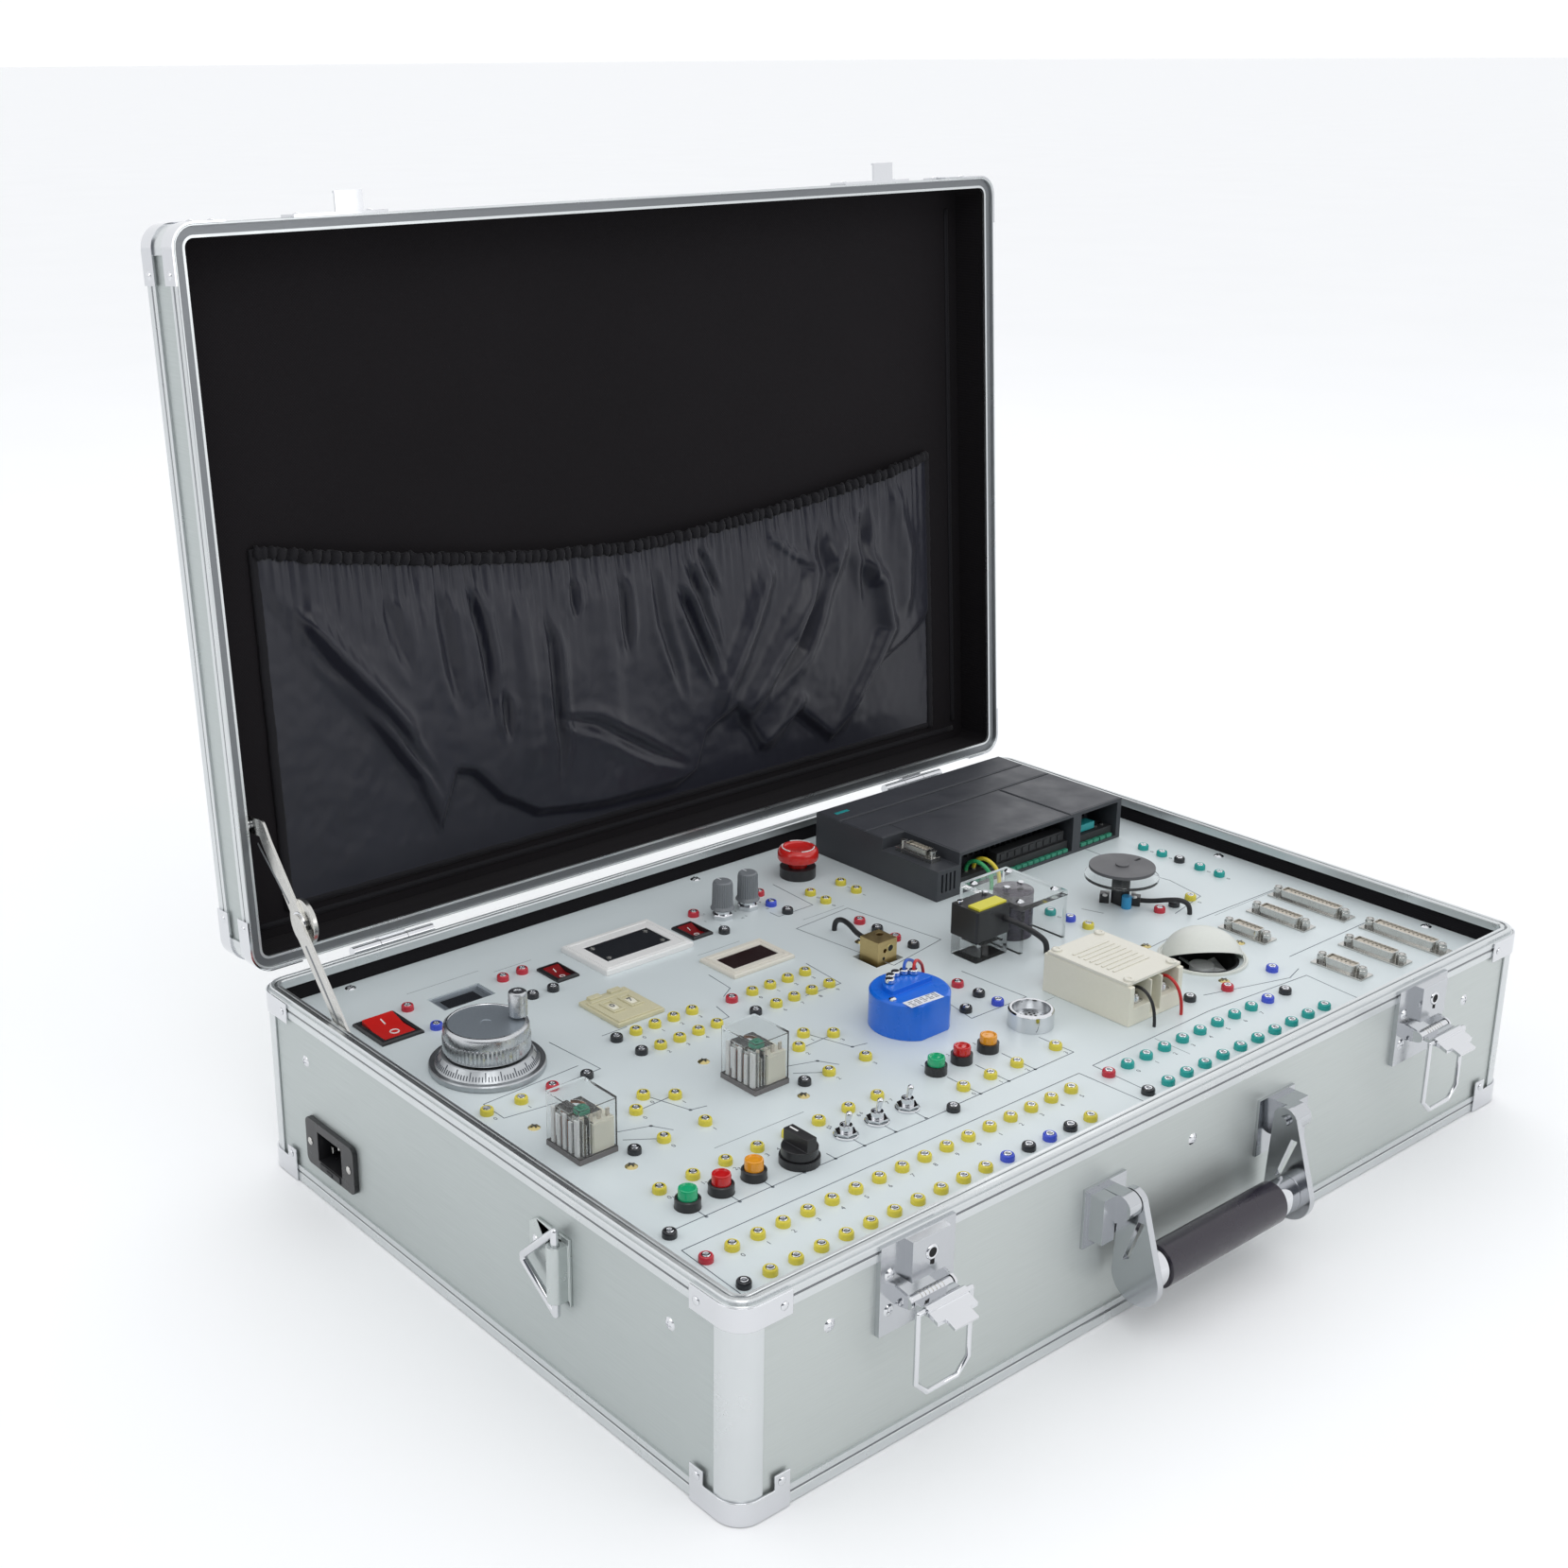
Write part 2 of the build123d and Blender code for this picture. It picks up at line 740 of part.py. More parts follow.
def strap_plate(side):
    face = side * (half_w - skin)
    out = side * (half_w - skin + plate_t)
    xs = sorted((face, out))
    low = strap_low
    high = strap_high
    y = strap_y
    shape = [(y - 5, low), (y + 3, low), (y + 26, high - 18), (y + 26, high - 4),
             (y + 20, high), (y - 5, high)]
    plate = prism_x(shape, xs[0], xs[1])
    centre = side * (half_w - skin + plate_t + strap_tube_r)
    foot = low + tube_short
    head_z = high - tube_short
    tube = rod_z(centre, y, foot, head_z, strap_tube_r)
    web = block(min(out, centre), max(out, centre), y - strap_tube_r, y, foot, head_z)
    tube = tube + web
    slot = rod_z(centre, y, low - 1, high + 1, ring_wire_r + run_gap)
    whole = plate + tube - slot
    one = rivet()
    if side < 0:
        head = to_left(one, out, y + 21, high - 12)
    else:
        head = to_right(one, out, y + 21, high - 12)
    return [whole, head]


def hinge_fixed(side):
    x = side * hinge_x
    third = hinge_len / 3
    low = shoulder_z - leaf_h - 1.5
    web = [(half_d, low), (half_d + leaf_t, low), (half_d + leaf_t, hinge_z - 4.4),
           (hinge_y + 0.5, hinge_z - knuckle_r), (hinge_y, hinge_z),
           (half_d + leaf_t, hinge_z - 0.6), (half_d, hinge_z - 0.6)]
    leaf = block(x - hinge_len / 2, x + hinge_len / 2, half_d, half_d + leaf_t, low,
                 hinge_z - 4.4)
    for i in (0, 2):
        a = x - hinge_len / 2 + third * i
        b = a + third
        if i == 0:
            b = b - seat_gap / 2
        else:
            a = a + seat_gap / 2
        leaf = leaf + prism_x(web, a, b)
        leaf = leaf + rod_x(a, b, hinge_y, hinge_z, knuckle_r)
    bore = rod_x(x - hinge_len, x + hinge_len, hinge_y, hinge_z, hinge_pin_r)
    leaf = leaf - bore
    pin = rod_x(x - hinge_len / 2, x + hinge_len / 2, hinge_y, hinge_z, hinge_pin_r)
    heads = []
    for dx in (-18, 0, 18):
        heads.append(to_back(rivet(2.0, 0.8), x + dx, half_d + leaf_t, low + 4.5))
    return [leaf, pin] + heads


def hinge_moving(side):
    x = side * hinge_x
    third = hinge_len / 3
    high = lid_low + leaf_h + 1.5
    a = x - third / 2 + seat_gap / 2
    b = x + third / 2 - seat_gap / 2
    web = [(half_d, high), (half_d, hinge_z + 0.6), (half_d + leaf_t, hinge_z + 0.6),
           (hinge_y, hinge_z), (hinge_y + 0.5, hinge_z + knuckle_r),
           (half_d + leaf_t, hinge_z + 4.4), (half_d + leaf_t, high)]
    leaf = block(x - hinge_len / 2, x + hinge_len / 2, half_d, half_d + leaf_t,
                 hinge_z + 4.4, high)
    leaf = leaf + prism_x(web, a, b)
    leaf = leaf + rod_x(a, b, hinge_y, hinge_z, knuckle_r)
    leaf = leaf - rod_x(a - 1, b + 1, hinge_y, hinge_z, hinge_pin_r + run_gap)
    heads = []
    for dx in (-18, 0, 18):
        heads.append(to_back(rivet(2.0, 0.8), x + dx, half_d + leaf_t, high - 4.5))
    return [leaf] + heads


# Switches, knobs and lamps on the panel

def rocker_frame(at, w, d, open_w, open_d, depth):
    x, y = at
    flange = block(x - w / 2, x + w / 2, y - d / 2, y + d / 2, panel_z, panel_z + 2)
    flange = chamfer(flange.edges().group_by(Axis.Z)[-1], 0.8)
    bw = open_w + 1.4
    bd = open_d + 1.4
    body = block(x - bw / 2, x + bw / 2, y - bd / 2, y + bd / 2, panel_z - depth, panel_z)
    hollow = block(x - open_w / 2, x + open_w / 2, y - open_d / 2, y + open_d / 2,
                   panel_z - depth + 1.5, panel_z + 3)
    frame = flange + body - hollow
    pin = rod_x(x - open_w / 2 - 0.3, x + open_w / 2 + 0.3, y, panel_z - 2, 1.2)
    return frame + pin


def rocker(at, open_w, open_d, tilt):
    x, y = at
    half = open_d / 2 - 0.9
    top = 0.42 * half
    shape = [(-half, top), (0, top - 1.6), (half, top), (half - 1.6, -4.2), (-half + 1.6, -4.2)]
    width = open_w - 0.8
    body = prism_x(shape, -width / 2, width / 2)
    body = body - rod_x(-width, width, 0, 0, 1.2 + run_gap)
    return Pos(x, y, panel_z - 2) * Rot(tilt, 0, 0) * body


def button_collar(at):
    x, y = at
    ring = rod_z(x, y, panel_z, panel_z + button_collar_h, button_collar_r)
    ring = chamfer(ring.edges().sort_by(Axis.Z)[-1], 0.5)
    body = rod_z(x, y, panel_z - 18, panel_z, button_r + 1.5)
    hollow = rod_z(x, y, panel_z - 16, panel_z + 20, button_r + seat_gap)
    return ring + body - hollow


def button(at):
    x, y = at
    cap = rod_z(x, y, panel_z - 10, panel_z + button_top, button_r)
    return fillet(cap.edges().sort_by(Axis.Z)[-1], 1.0)


def lamp_body(at):
    x, y = at
    ring = rod_z(x, y, panel_z, panel_z + button_collar_h, button_collar_r - 0.4)
    stem = rod_z(x, y, panel_z - 14, panel_z, 3.3)
    return ring + stem


def lamp_lens(at):
    x, y = at
    low = panel_z + button_collar_h
    lens = rod_z(x, y, low, panel_z + lamp_top, lamp_r)
    return fillet(lens.edges().sort_by(Axis.Z)[-1], 1.5)


def toggle_bushing(at):
    x, y = at
    nut = Pos(x, y, panel_z) * extrude(RegularPolygon(5.6, 6), amount=2.6)
    sleeve = rod_z(x, y, panel_z, panel_z + 6, 3.2)
    stem = rod_z(x, y, panel_z - 4, panel_z, 3.2)
    body = block(x - 4.5, x + 4.5, y - 6.5, y + 6.5, panel_z - 14, panel_z - 4)
    hollow = rod_z(x, y, panel_z + 1, panel_z + 8, 2.4)
    return nut + sleeve + stem + body - hollow


def toggle(at):
    x, y = at
    ball = Sphere(2.1) + rod_x(-2.2, 2.2, 0, 0, 0.9)
    stem = Pos(0, 0, toggle_len / 2) * Cone(1.0, 1.6, toggle_len)
    tip = Pos(0, 0, toggle_len) * Sphere(1.6)
    whole = ball + stem + tip
    return Pos(x, y, panel_z + 3.4) * Rot(toggle_tilt, 0, 0) * whole


def selector_base():
    x, y = selector_at
    ring = rod_z(x, y, panel_z, panel_z + 4, selector_r + 1)
    stem = rod_z(x, y, panel_z - 14, panel_z, 5.0)
    hollow = rod_z(x, y, panel_z - 10, panel_z + 6, 3.0 + run_gap)
    return ring + stem - hollow


def selector_knob():
    x, y = selector_at
    low = panel_z + 4 + seat_gap
    disc = rod_z(x, y, low, panel_z + 9, selector_r)
    grip = block(x - 3, x + 3, y - selector_r + 0.6, y + selector_r - 0.6,
                 panel_z + 9, panel_z + selector_top)
    shaft = rod_z(x, y, panel_z - 8, low, 3.0)
    return disc + grip + shaft


def pot_bushing(at):
    x, y = at
    nut = Pos(x, y, panel_z) * extrude(RegularPolygon(6, 6), amount=2.5)
    can = rod_z(x, y, panel_low - 14, panel_low - 2, 9)
    neck = rod_z(x, y, panel_low - 2, panel_z, 4.0)
    shaft = rod_z(x, y, panel_z, panel_z + 14, 3.0)
    return nut + can + neck + shaft


def pot_knob(at):
    x, y = at
    low = panel_z + 3.2
    skirt = rod_z(x, y, low, low + 4, pot_r + 0.8)
    body = rod_z(x, y, low, panel_z + pot_top, pot_r - 0.6)
    body = chamfer(body.edges().sort_by(Axis.Z)[-1], 0.8)
    mark = block(x - 0.5, x + 0.5, y, y + pot_r - 0.6, panel_z + pot_top - 1,
                 panel_z + pot_top + 0.3)
    hollow = rod_z(x, y, low - 1, panel_z + 15, 3.0 + run_gap)
    return skirt + body + mark - hollow


def stop_base():
    x, y = stop_at
    ring = rod_z(x, y, panel_z, panel_z + 7, stop_r - 1.5)
    stem = rod_z(x, y, panel_z - 24, panel_z, 8.0)
    hollow = rod_z(x, y, panel_z - 22, panel_z + 9, 6.0 + seat_gap)
    return ring + stem - hollow


def stop_head():
    x, y = stop_at
    low = panel_z + 7 + stop_travel + seat_gap
    head = rod_z(x, y, low, panel_z + stop_top, stop_r)
    head = fillet(head.edges().sort_by(Axis.Z)[-1], 5)
    stem = rod_z(x, y, panel_z - 16, low, 6.0)
    return head + stem


def wheel_base():
    x, y = wheel_at
    flange = rod_z(x, y, panel_z, panel_z + 4, wheel_flange_r)
    groove = rod_z(x, y, panel_z + 2.6, panel_z + 5, wheel_flange_r - 1.6)
    bevel = Pos(x, y, panel_z + 5.9) * Cone(wheel_flange_r - 3, wheel_r + 0.6, 6.6)
    body = rod_z(x, y, panel_z - 30, panel_z, 12)
    shaft = rod_z(x, y, panel_z + 9, panel_z + 19, wheel_shaft_r)
    return (flange - groove) + bevel + body + shaft


def handwheel():
    x, y = wheel_at
    low = panel_z + wheel_low
    high = panel_z + wheel_top
    body = rod_z(x, y, low, high, wheel_r)
    body = chamfer(body.edges().sort_by(Axis.Z)[-1], 0.8)
    body = body - rod_z(x, y, low - 1, panel_z + 20, wheel_shaft_r + run_gap)
    pin = rod_z(x + knob_off[0], y + knob_off[1], high - 1, panel_z + knob_top - 3, knob_pin_r)
    return body + pin


def crank_knob():
    x = wheel_at[0] + knob_off[0]
    y = wheel_at[1] + knob_off[1]
    low = panel_z + wheel_top + seat_gap
    knob = rod_z(x, y, low, panel_z + knob_top, knob_r)
    knob = chamfer(knob.edges().sort_by(Axis.Z)[-1], 0.6)
    return knob - rod_z(x, y, low - 1, panel_z + knob_top - 2, knob_pin_r + run_gap)


def buzzer():
    x, y = buzzer_at
    ring = rod_z(x, y, panel_z, panel_z + buzzer_h, buzzer_r)
    ring = chamfer(ring.edges().sort_by(Axis.Z)[-1], 0.8)
    ring = ring - rod_z(x, y, panel_z + 2, panel_z + buzzer_h + 1, buzzer_r - 2.2)
    cup = rod_z(x, y, panel_z + 2, panel_z + 4.5, 4)
    return ring + cup


# Meters

def window(at, w, d, frame_h, open_w, open_d, deep):
    x, y = at
    bezel = block(x - w / 2, x + w / 2, y - d / 2, y + d / 2, panel_z, panel_z + frame_h)
    bezel = chamfer(bezel.edges().group_by(Axis.Z)[-1], 0.7)
    body = block(x - open_w / 2 - 3, x + open_w / 2 + 3, y - open_d / 2 - 3,
                 y + open_d / 2 + 3, panel_z - deep, panel_z)
    sunk = block(x - open_w / 2, x + open_w / 2, y - open_d / 2, y + open_d / 2,
                 panel_z - 1.5, panel_z + 9)
    return bezel + body - sunk


def panel_meters():
    x, y = ac_meter
    ac = block(x - 22, x + 22, y - 14, y + 14, panel_low - 12, panel_low)
    dc = window(dc_meter, 64, 44, 3.5, 47, 24, 22)
    digital = window(digital_meter, 46, 31, 2.5, 34, 16, 20)
    return [ac, dc, digital]


def thumbwheel_body():
    x, y = thumbwheel
    frame = block(x - 16, x + 16, y - 18, y + 18, panel_z, panel_z + 3)
    frame = chamfer(frame.edges().group_by(Axis.Z)[-1], 0.6)
    body = block(x - 13.5, x + 13.5, y - 15, y + 15, panel_z - 20, panel_z)
    whole = frame + body
    for i in range(4):
        cx = x - 9.6 + 6.4 * i
        whole = whole - block(cx - 2.6, cx + 2.6, y - 12, y + 12, panel_z + 1.6, panel_z + 4)
        whole = whole + rod_x(cx - 2.0, cx + 2.0, y, panel_z - 4.0, 8.4)
    return whole


# Relays, controller and the experiments on the panel

def relay_cover(at):
    x, y = at
    low = panel_z + 3
    high = panel_z + relay_h
    a = relay_w / 2
    b = relay_d / 2
    box = block(x - a, x + a, y - b, y + b, low, high)
    box = fillet(box.edges().filter_by(Axis.Z), 1.2)
    t = cover_wall
    hollow = block(x - a + t, x + a - t, y - b + t, y + b - t, low - 1, high - t)
    return box - hollow


def relay_core(at):
    x, y = at
    a = relay_w / 2
    b = relay_d / 2
    low = panel_z + 3
    base = block(x - a, x + a, y - b, y + b, panel_z, low)
    coil = rod_z(x - 2, y + 4, low, low + 15, 6.5)
    yoke = block(x - 9, x + 7, y - 6.5, y - 3.5, low, low + 18)
    arm = block(x - 9, x + 7, y - 3.5, y + 10, low + 16, low + 18)
    arm = arm - rod_z(x - 2, y + 4, low + 15, low + 19, 6.6)
    contacts = [block(x - 8 + 5 * i, x - 6 + 5 * i, y - 10, y - 9, low, low + 20) for i in range(4)]
    return [base, coil, yoke + arm] + contacts


def plc_housing():
    x0, x1, y0, y1 = plc_x0, plc_x1, plc_y0, plc_y1
    top = panel_z + plc_h
    t = plc_wall
    body = block(x0, x1, y0, y1, panel_z, top)
    neck_in = t + 1 + seat_gap
    neck = block(x0 + neck_in, x1 - neck_in, y0 + neck_in, y1 - neck_in,
                 panel_z - plc_sink, panel_z)
    notch = block(x0 - 1, plc_notch_x, y0 - 1, plc_notch_y, panel_z + plc_ledge_h, top + 1)
    bay_x0 = plc_notch_x + t
    post = 8.0
    split = x0 + 126.0
    deep = y0 + plc_bay_d
    bay_a = block(bay_x0, split, y0 - 1, deep, panel_z + 2, top - 2.5)
    bay_b = block(split + post, x1 - 4, y0 - 1, deep, panel_z + 2, top - 2.5)
    whole = body + neck - notch - bay_a - bay_b
    step_y = y0 + 62
    whole = whole - block(plc_notch_x + 1, x1 + 1, step_y, step_y + 1.0, top - 0.8, top + 1)
    whole = whole - block(x0 - 1, x1 + 1, step_y + 24, step_y + 25, top - 0.8, top + 1)
    whole = whole - block(x1 - 52, x1 - 51, y0 - 1, step_y, top - 0.6, top + 1)
    for i in range(4):
        cx = x0 + 4.5 + 3.6 * i
        whole = whole - block(cx - 0.7, cx + 0.7, y0 - 1, y0 + 3, panel_z + 5, panel_z + 17)
    strip_a = block(bay_x0 + 1, split - 1, y0 + 3, y0 + 15, panel_z + 2, panel_z + 9)
    strip_b = block(split + post + 1, x1 - 5, y0 + 3, y0 + 15, panel_z + 2, panel_z + 9)
    cx = (x0 + plc_notch_x) / 2
    low = panel_z + plc_ledge_h
    port = block(cx - 3, cx + 6, y0 + 12, y0 + 43, low, low + 3)
    shell = block(cx - 2, cx + 5, y0 + 18, y0 + 37, low + 3, low + 7)
    shell = shell - block(cx - 1.2, cx + 4.2, y0 + 18.8, y0 + 36.2, low + 4, low + 8)
    nuts = [rod_z(cx + 1.5, y0 + y, low + 3, low + 7, 2.2) for y in (15, 40)]
    return [whole, strip_a, strip_b, port + shell + nuts]


def heater():
    x, y = heater_at
    a = heater_w / 2
    tray = block(x - 13, x + 13, y - 12, y + 12, panel_low - 5, panel_low)
    tray = tray - block(x - 11, x + 11, y - 10, y + 10, panel_low - 3, panel_low + 1)
    cube = block(x - a, x + a, y - a, y + a, panel_low - 3, panel_z + heater_h)
    cube = cube - rod_z(x + 2.5, y + 2, panel_z + 4, panel_z + heater_h + 1, 2.0)
    cube = cube - rod_y(x - 2, y - a - 1, y - a + 5, panel_z + 7, 1.3)
    return [tray, cube]


def transmitter():
    x, y = puck_at
    puck = rod_z(x, y, panel_z, panel_z + puck_h, puck_r)
    flat = block(x - 30, x + 30, y - 30, y - puck_r + 2.5, panel_z - 1, panel_z + 60)
    puck = chamfer(puck.edges().sort_by(Axis.Z)[-1], 1.2) - flat
    rise = rod_z(x, y, panel_z + puck_h, panel_z + puck_h + 3, 15)
    rise = rise - block(x - 40, x + 40, y - 40, y - 2, panel_z, panel_z + 60)
    puck = puck + rise
    heads = []
    for i in range(5):
        a = radians(35 + 27.5 * i)
        cx = x + 11 * cos(a)
        cy = y + 11 * sin(a)
        heads.append(rod_z(cx, cy, panel_z + puck_h + 3, panel_z + puck_h + 6, 2.6))
    return [puck] + heads


def photo_sensor():
    x, y = sensor_at
    foot = block(x - 13, x + 13, y - 10, y + 10, panel_z, panel_z + 13)
    foot = foot - block(x - 9, x + 9, y - 11, y + 6, panel_z + 2, panel_z + 10)
    body = block(x - 14, x + 14, y - 10.5, y + 10.5, panel_z + 13, panel_z + 32)
    body = fillet(body.edges().filter_by(Axis.Z), 1.5)
    strip = block(x - 11, x + 11, y - 7.5, y - 1.5, panel_z + 32, panel_z + 33.2)
    studs = []
    for s in (-1, 1):
        studs.append(rod_z(x + s * 10.5, y + 6.5, panel_z + 32, panel_z + 34, 1.8))
    return [foot, body, strip] + studs


def acrylic_stands():
    x, y = stand_at
    a = stand_w / 2
    b = stand_d / 2
    top = panel_z + stand_h
    under = top - sheet_t
    deck = block(x - a, x + a, y - b, y + b, under, top)
    left = block(x - a, x - a + sheet_t, y - b, y + b, panel_z, under)
    right = block(x + a - sheet_t, x + a, y - b, y + b, panel_z, under)
    motor = rod_z(x, y, panel_z, under, 12)
    heads = [rod_z(x - 6 + 12 * i, y, top, top + 1.5, 2) for i in range(2)]
    for s in (-1, 1):
        for u in (-1, 1):
            heads.append(dome(x + s * (a - 5), y + u * (b - 6), top, 2.6, 1.4))
    cx, cy = disc_at
    half = post_w / 2
    post = block(cx - half, cx + half, cy - half, cy + half, panel_z, panel_z + clear_z)
    clear = rod_z(cx, cy, panel_z + clear_z, panel_z + clear_z + 2, disc_r + 2.5)
    can = rod_z(cx, cy, panel_low - 24, panel_low, 12)
    shaft = rod_z(cx, cy, panel_z + clear_z + 2, panel_z + disc_z - 0.6, 2.0)
    shaft = shaft + rod_z(cx, cy, panel_z + clear_z + 2, panel_z + clear_z + 2.6, 3.5)
    return [deck, left, right, motor, post, clear + shaft, can] + heads + slot_sensor()


def slot_sensor():
    cx, cy = disc_at
    half = post_w / 2
    bars = []
    for s in (-1, 1):
        xs = sorted((s * (half + 2.5), s * sensor_half))
        bar = block(xs[0], xs[1], -3, 3, panel_z, panel_z + 6)
        bars.append(Pos(cx, cy, 0) * Rot(0, 0, -55) * bar)
    lens = rod_z(cx - 3.0, cy - half - 3.4, panel_z, panel_z + 8, 3.0)
    return bars + [lens]


def sensor_disc():
    cx, cy = disc_at
    z = panel_z + disc_z
    plate = rod_z(cx, cy, z, z + disc_t, disc_r)
    hub = rod_z(cx, cy, panel_z + clear_z + 2.6 + seat_gap, z + disc_t + 1, 4)
    slot = block(cx + 12, cx + 17, cy - 1, cy + 1, z - 1, z + disc_t + 1)
    whole = plate + hub - slot
    return whole - rod_z(cx, cy, panel_z, z - 0.3, 2.0 + run_gap)


def solid_relay():
    x, y = ssr_at
    a = ssr_w / 2
    b = ssr_d / 2
    body = block(x - a, x + a, y - b, y + b, panel_z, panel_z + ssr_h)
    for s in (-1, 1):
        ys = sorted((y + s * (b + 1), y + s * (b - 13)))
        for u in (-1, 1):
            xs = sorted((x + u * 5, x + u * (a - 4)))
            body = body - block(xs[0], xs[1], ys[0], ys[1], panel_z + 10, panel_z + ssr_h + 1)
        body = body - block(x - 4, x + 4, ys[0], ys[1], panel_z + 3, panel_z + ssr_h + 1)
    heads = []
    for s in (-1, 1):
        for u in (-1, 1):
            heads.append(rod_z(x + u * 11.5, y + s * (b - 7), panel_z + 10, panel_z + 14, 4))
    cover = block(x - a, x + a, y - b + 2, y + b - 2, panel_z + ssr_h, panel_z + ssr_h + 2)
    return [body, cover] + heads


def dome_hood():
    x, y = hood_at
    r = hood_r
    flat = hood_h / r
    ball = scale(Sphere(r), by=(1, 1, flat)) - scale(Sphere(r - 1.2), by=(1, 1, flat))
    ball = ball & block(-r - 1, r + 1, -r - 1, r + 1, 0, r + 1)
    far = 3 * r
    rise = far * tan(radians(hood_open))
    mouth = prism_x([(-far, -1), (0, -1), (0, 0), (-far, rise)], -far, far)
    ball = ball - (Rot(0, 0, hood_turn) * mouth)
    rim = rod_z(0, 0, 0, 1.2, r + 2.5) - rod_z(0, 0, -1, 2, r)
    hood = ball + rim
    hood = Pos(x, y, panel_z) * hood
    outer = fan_r + 3.0
    well = rod_z(x, y, panel_low - 16, panel_z, outer) - rod_z(x, y, panel_low - 17, panel_z + 1,
                                                               outer - 1.5)
    spider = block(x - outer + 1, x + outer - 1, y - 1.5, y + 1.5, panel_low - 16, panel_low - 13.5)
    cross = block(x - 1.5, x + 1.5, y - outer + 1, y + outer - 1, panel_low - 16, panel_low - 13.5)
    post = rod_z(x, y, panel_low - 16, panel_low - 3, 2.0)
    motor = rod_z(x, y, panel_low - 16, panel_low - 11, 8)
    return [hood, well + spider + cross + post + motor]


def fan_rotor():
    x, y = hood_at
    low = panel_low - 11 + 1.0
    hub = rod_z(0, 0, low, panel_low - 1, 7)
    whole = hub
    for i in range(5):
        blade = Box(fan_r - 7.5, 9, 1.2)
        blade = Pos(7 + (fan_r - 8) / 2, 0, (low + panel_low - 1) / 2) * Rot(32, 0, 0) * blade
        whole = whole + (Rot(0, 0, 72 * i) * blade)
    whole = whole - rod_z(0, 0, low - 1, panel_low - 2.5, 2.0 + run_gap)
    return Pos(x, y, 0) * whole


def d_sub(x, y, length):
    z = panel_z
    a = length / 2
    plate = block(x - 6, x + 6, y - a, y + a, z, z + 1)
    shell = block(x - 4, x + 4, y - a + 7, y + a - 7, z + 1, z + 6)
    shell = fillet(shell.edges().filter_by(Axis.Z), 2)
    hollow = block(x - 3.2, x + 3.2, y - a + 7.8, y + a - 7.8, z + 2, z + 7)
    nuts = [rod_z(x, y + s * (a - 3.5), z + 1, z + 6, 2.4) for s in (-1, 1)]
    whole = plate + (shell - hollow) + nuts
    return whole


def d_subs():
    pieces = []
    for y in (-86, -150):
        for x, length in ((262, 54), (231, 41), (198, 33)):
            at = spot(x, y)
            pieces.append(d_sub(at[0], at[1], length))
    return pieces


def wire(points, r):
    path_points = [Vector(*p) for p in points]
    radii = []
    for before, here, after in zip(path_points[:-2], path_points[1:-1], path_points[2:]):
        a = here - before
        b = after - here
        turn = radians(a.get_angle(b))
        radii.append(0.45 * min(a.length, b.length) / tan(turn / 2))
    path = FilletPolyline(*points, radius=radii) if radii else Polyline(*points)
    start = Plane(origin=path @ 0, z_dir=path % 0)
    tube = sweep(start * Circle(r), path=path)
    print("wire", round(path.length, 1), "mm, volume over section times length",
          round(tube.volume / (pi * r * r * path.length), 4),
          "radii", [round(v, 1) for v in radii])
    return tube


def hookup_wires():
    z = panel_z
    pieces = []
    hx, hy = heater_at
    end = hy + heater_w / 2
    pieces.append(wire([(hx + 7, hy + 44, z), (hx + 7, hy + 44, z + 5.5),
                        (hx + 5.5, hy + 37, z + 10), (hx + 2.5, hy + 27, z + 11),
                        (hx, end + 9, z + 8), (hx, end, z + 8)], 1.6))
    sx, sy = sensor_at
    face = sy - 10.5
    pieces.append(wire([(sx + 9, face, z + 23), (sx + 9, face - 6, z + 23),
                        (sx + 17, face - 11, z + 18), (sx + 27, face - 14.5, z + 10),
                        (sx + 30, face - 15, z + 5), (sx + 30, face - 15, z)], 1.7))
    cx, cy = disc_at
    ux = sin(radians(35))
    uy = -cos(radians(35))
    ex = cx + ux * sensor_half
    ey = cy + uy * sensor_half
    pieces.append(wire([(ex, ey, z + 3.2), (ex + ux * 6, ey + uy * 6, z + 3.2),
                        (ex + 7.5, ey - 14, z + 6), (ex + 10, ey - 22, z + 8),
                        (ex + 12, ey - 28, z + 6), (ex + 12, ey - 28, z)], 1.5))
    ax, ay = ssr_at
    b = ssr_d / 2
    top = z + 14
    for dx, s in ((-11.5, 1), (-11.5, -1), (11.5, -1)):
        x0 = ax + dx
        y0 = ay + s * (b - 7)
        pieces.append(wire([(x0, y0, top), (x0, y0, top + 6), (x0, y0 + s * 10, top + 5),
                            (x0 + 1, y0 + s * 15, top - 5), (x0 + 1, y0 + s * 15, z)], 0.9))
    px, py = puck_at
    high = z + puck_h + 6
    for i, lean in ((0, 0.0), (1, 4.0)):
        angle = radians(35 + 27.5 * i)
        x0 = px + 11 * cos(angle)
        y1 = py + 11 * sin(angle)
        xe = px + 23.5 + lean / 2
        ye = py + 12.0 + 2 * lean
        pieces.append(wire([(x0, y1, high), (x0, y1, high + 3.5), (x0 + 6, y1 + 3, high + 3),
                            (xe, ye, high - 6), (xe, ye, z)], 0.9))
    bx = plc_notch_x + plc_wall
    by = plc_y0
    for i in range(2):
        x0 = bx + 14 + 7 * i
        pieces.append(wire([(x0, by + 9, z + 9), (x0, by + 9, z + 14), (x0 + 1, by + 2, z + 18.5),
                            (x0 + 3, by - 6, z + 15), (x0 + 4, by - 9.5, z + 8),
                            (x0 + 4, by - 9.5, z)], 1.3))
    return pieces


# Moving hardware of the case

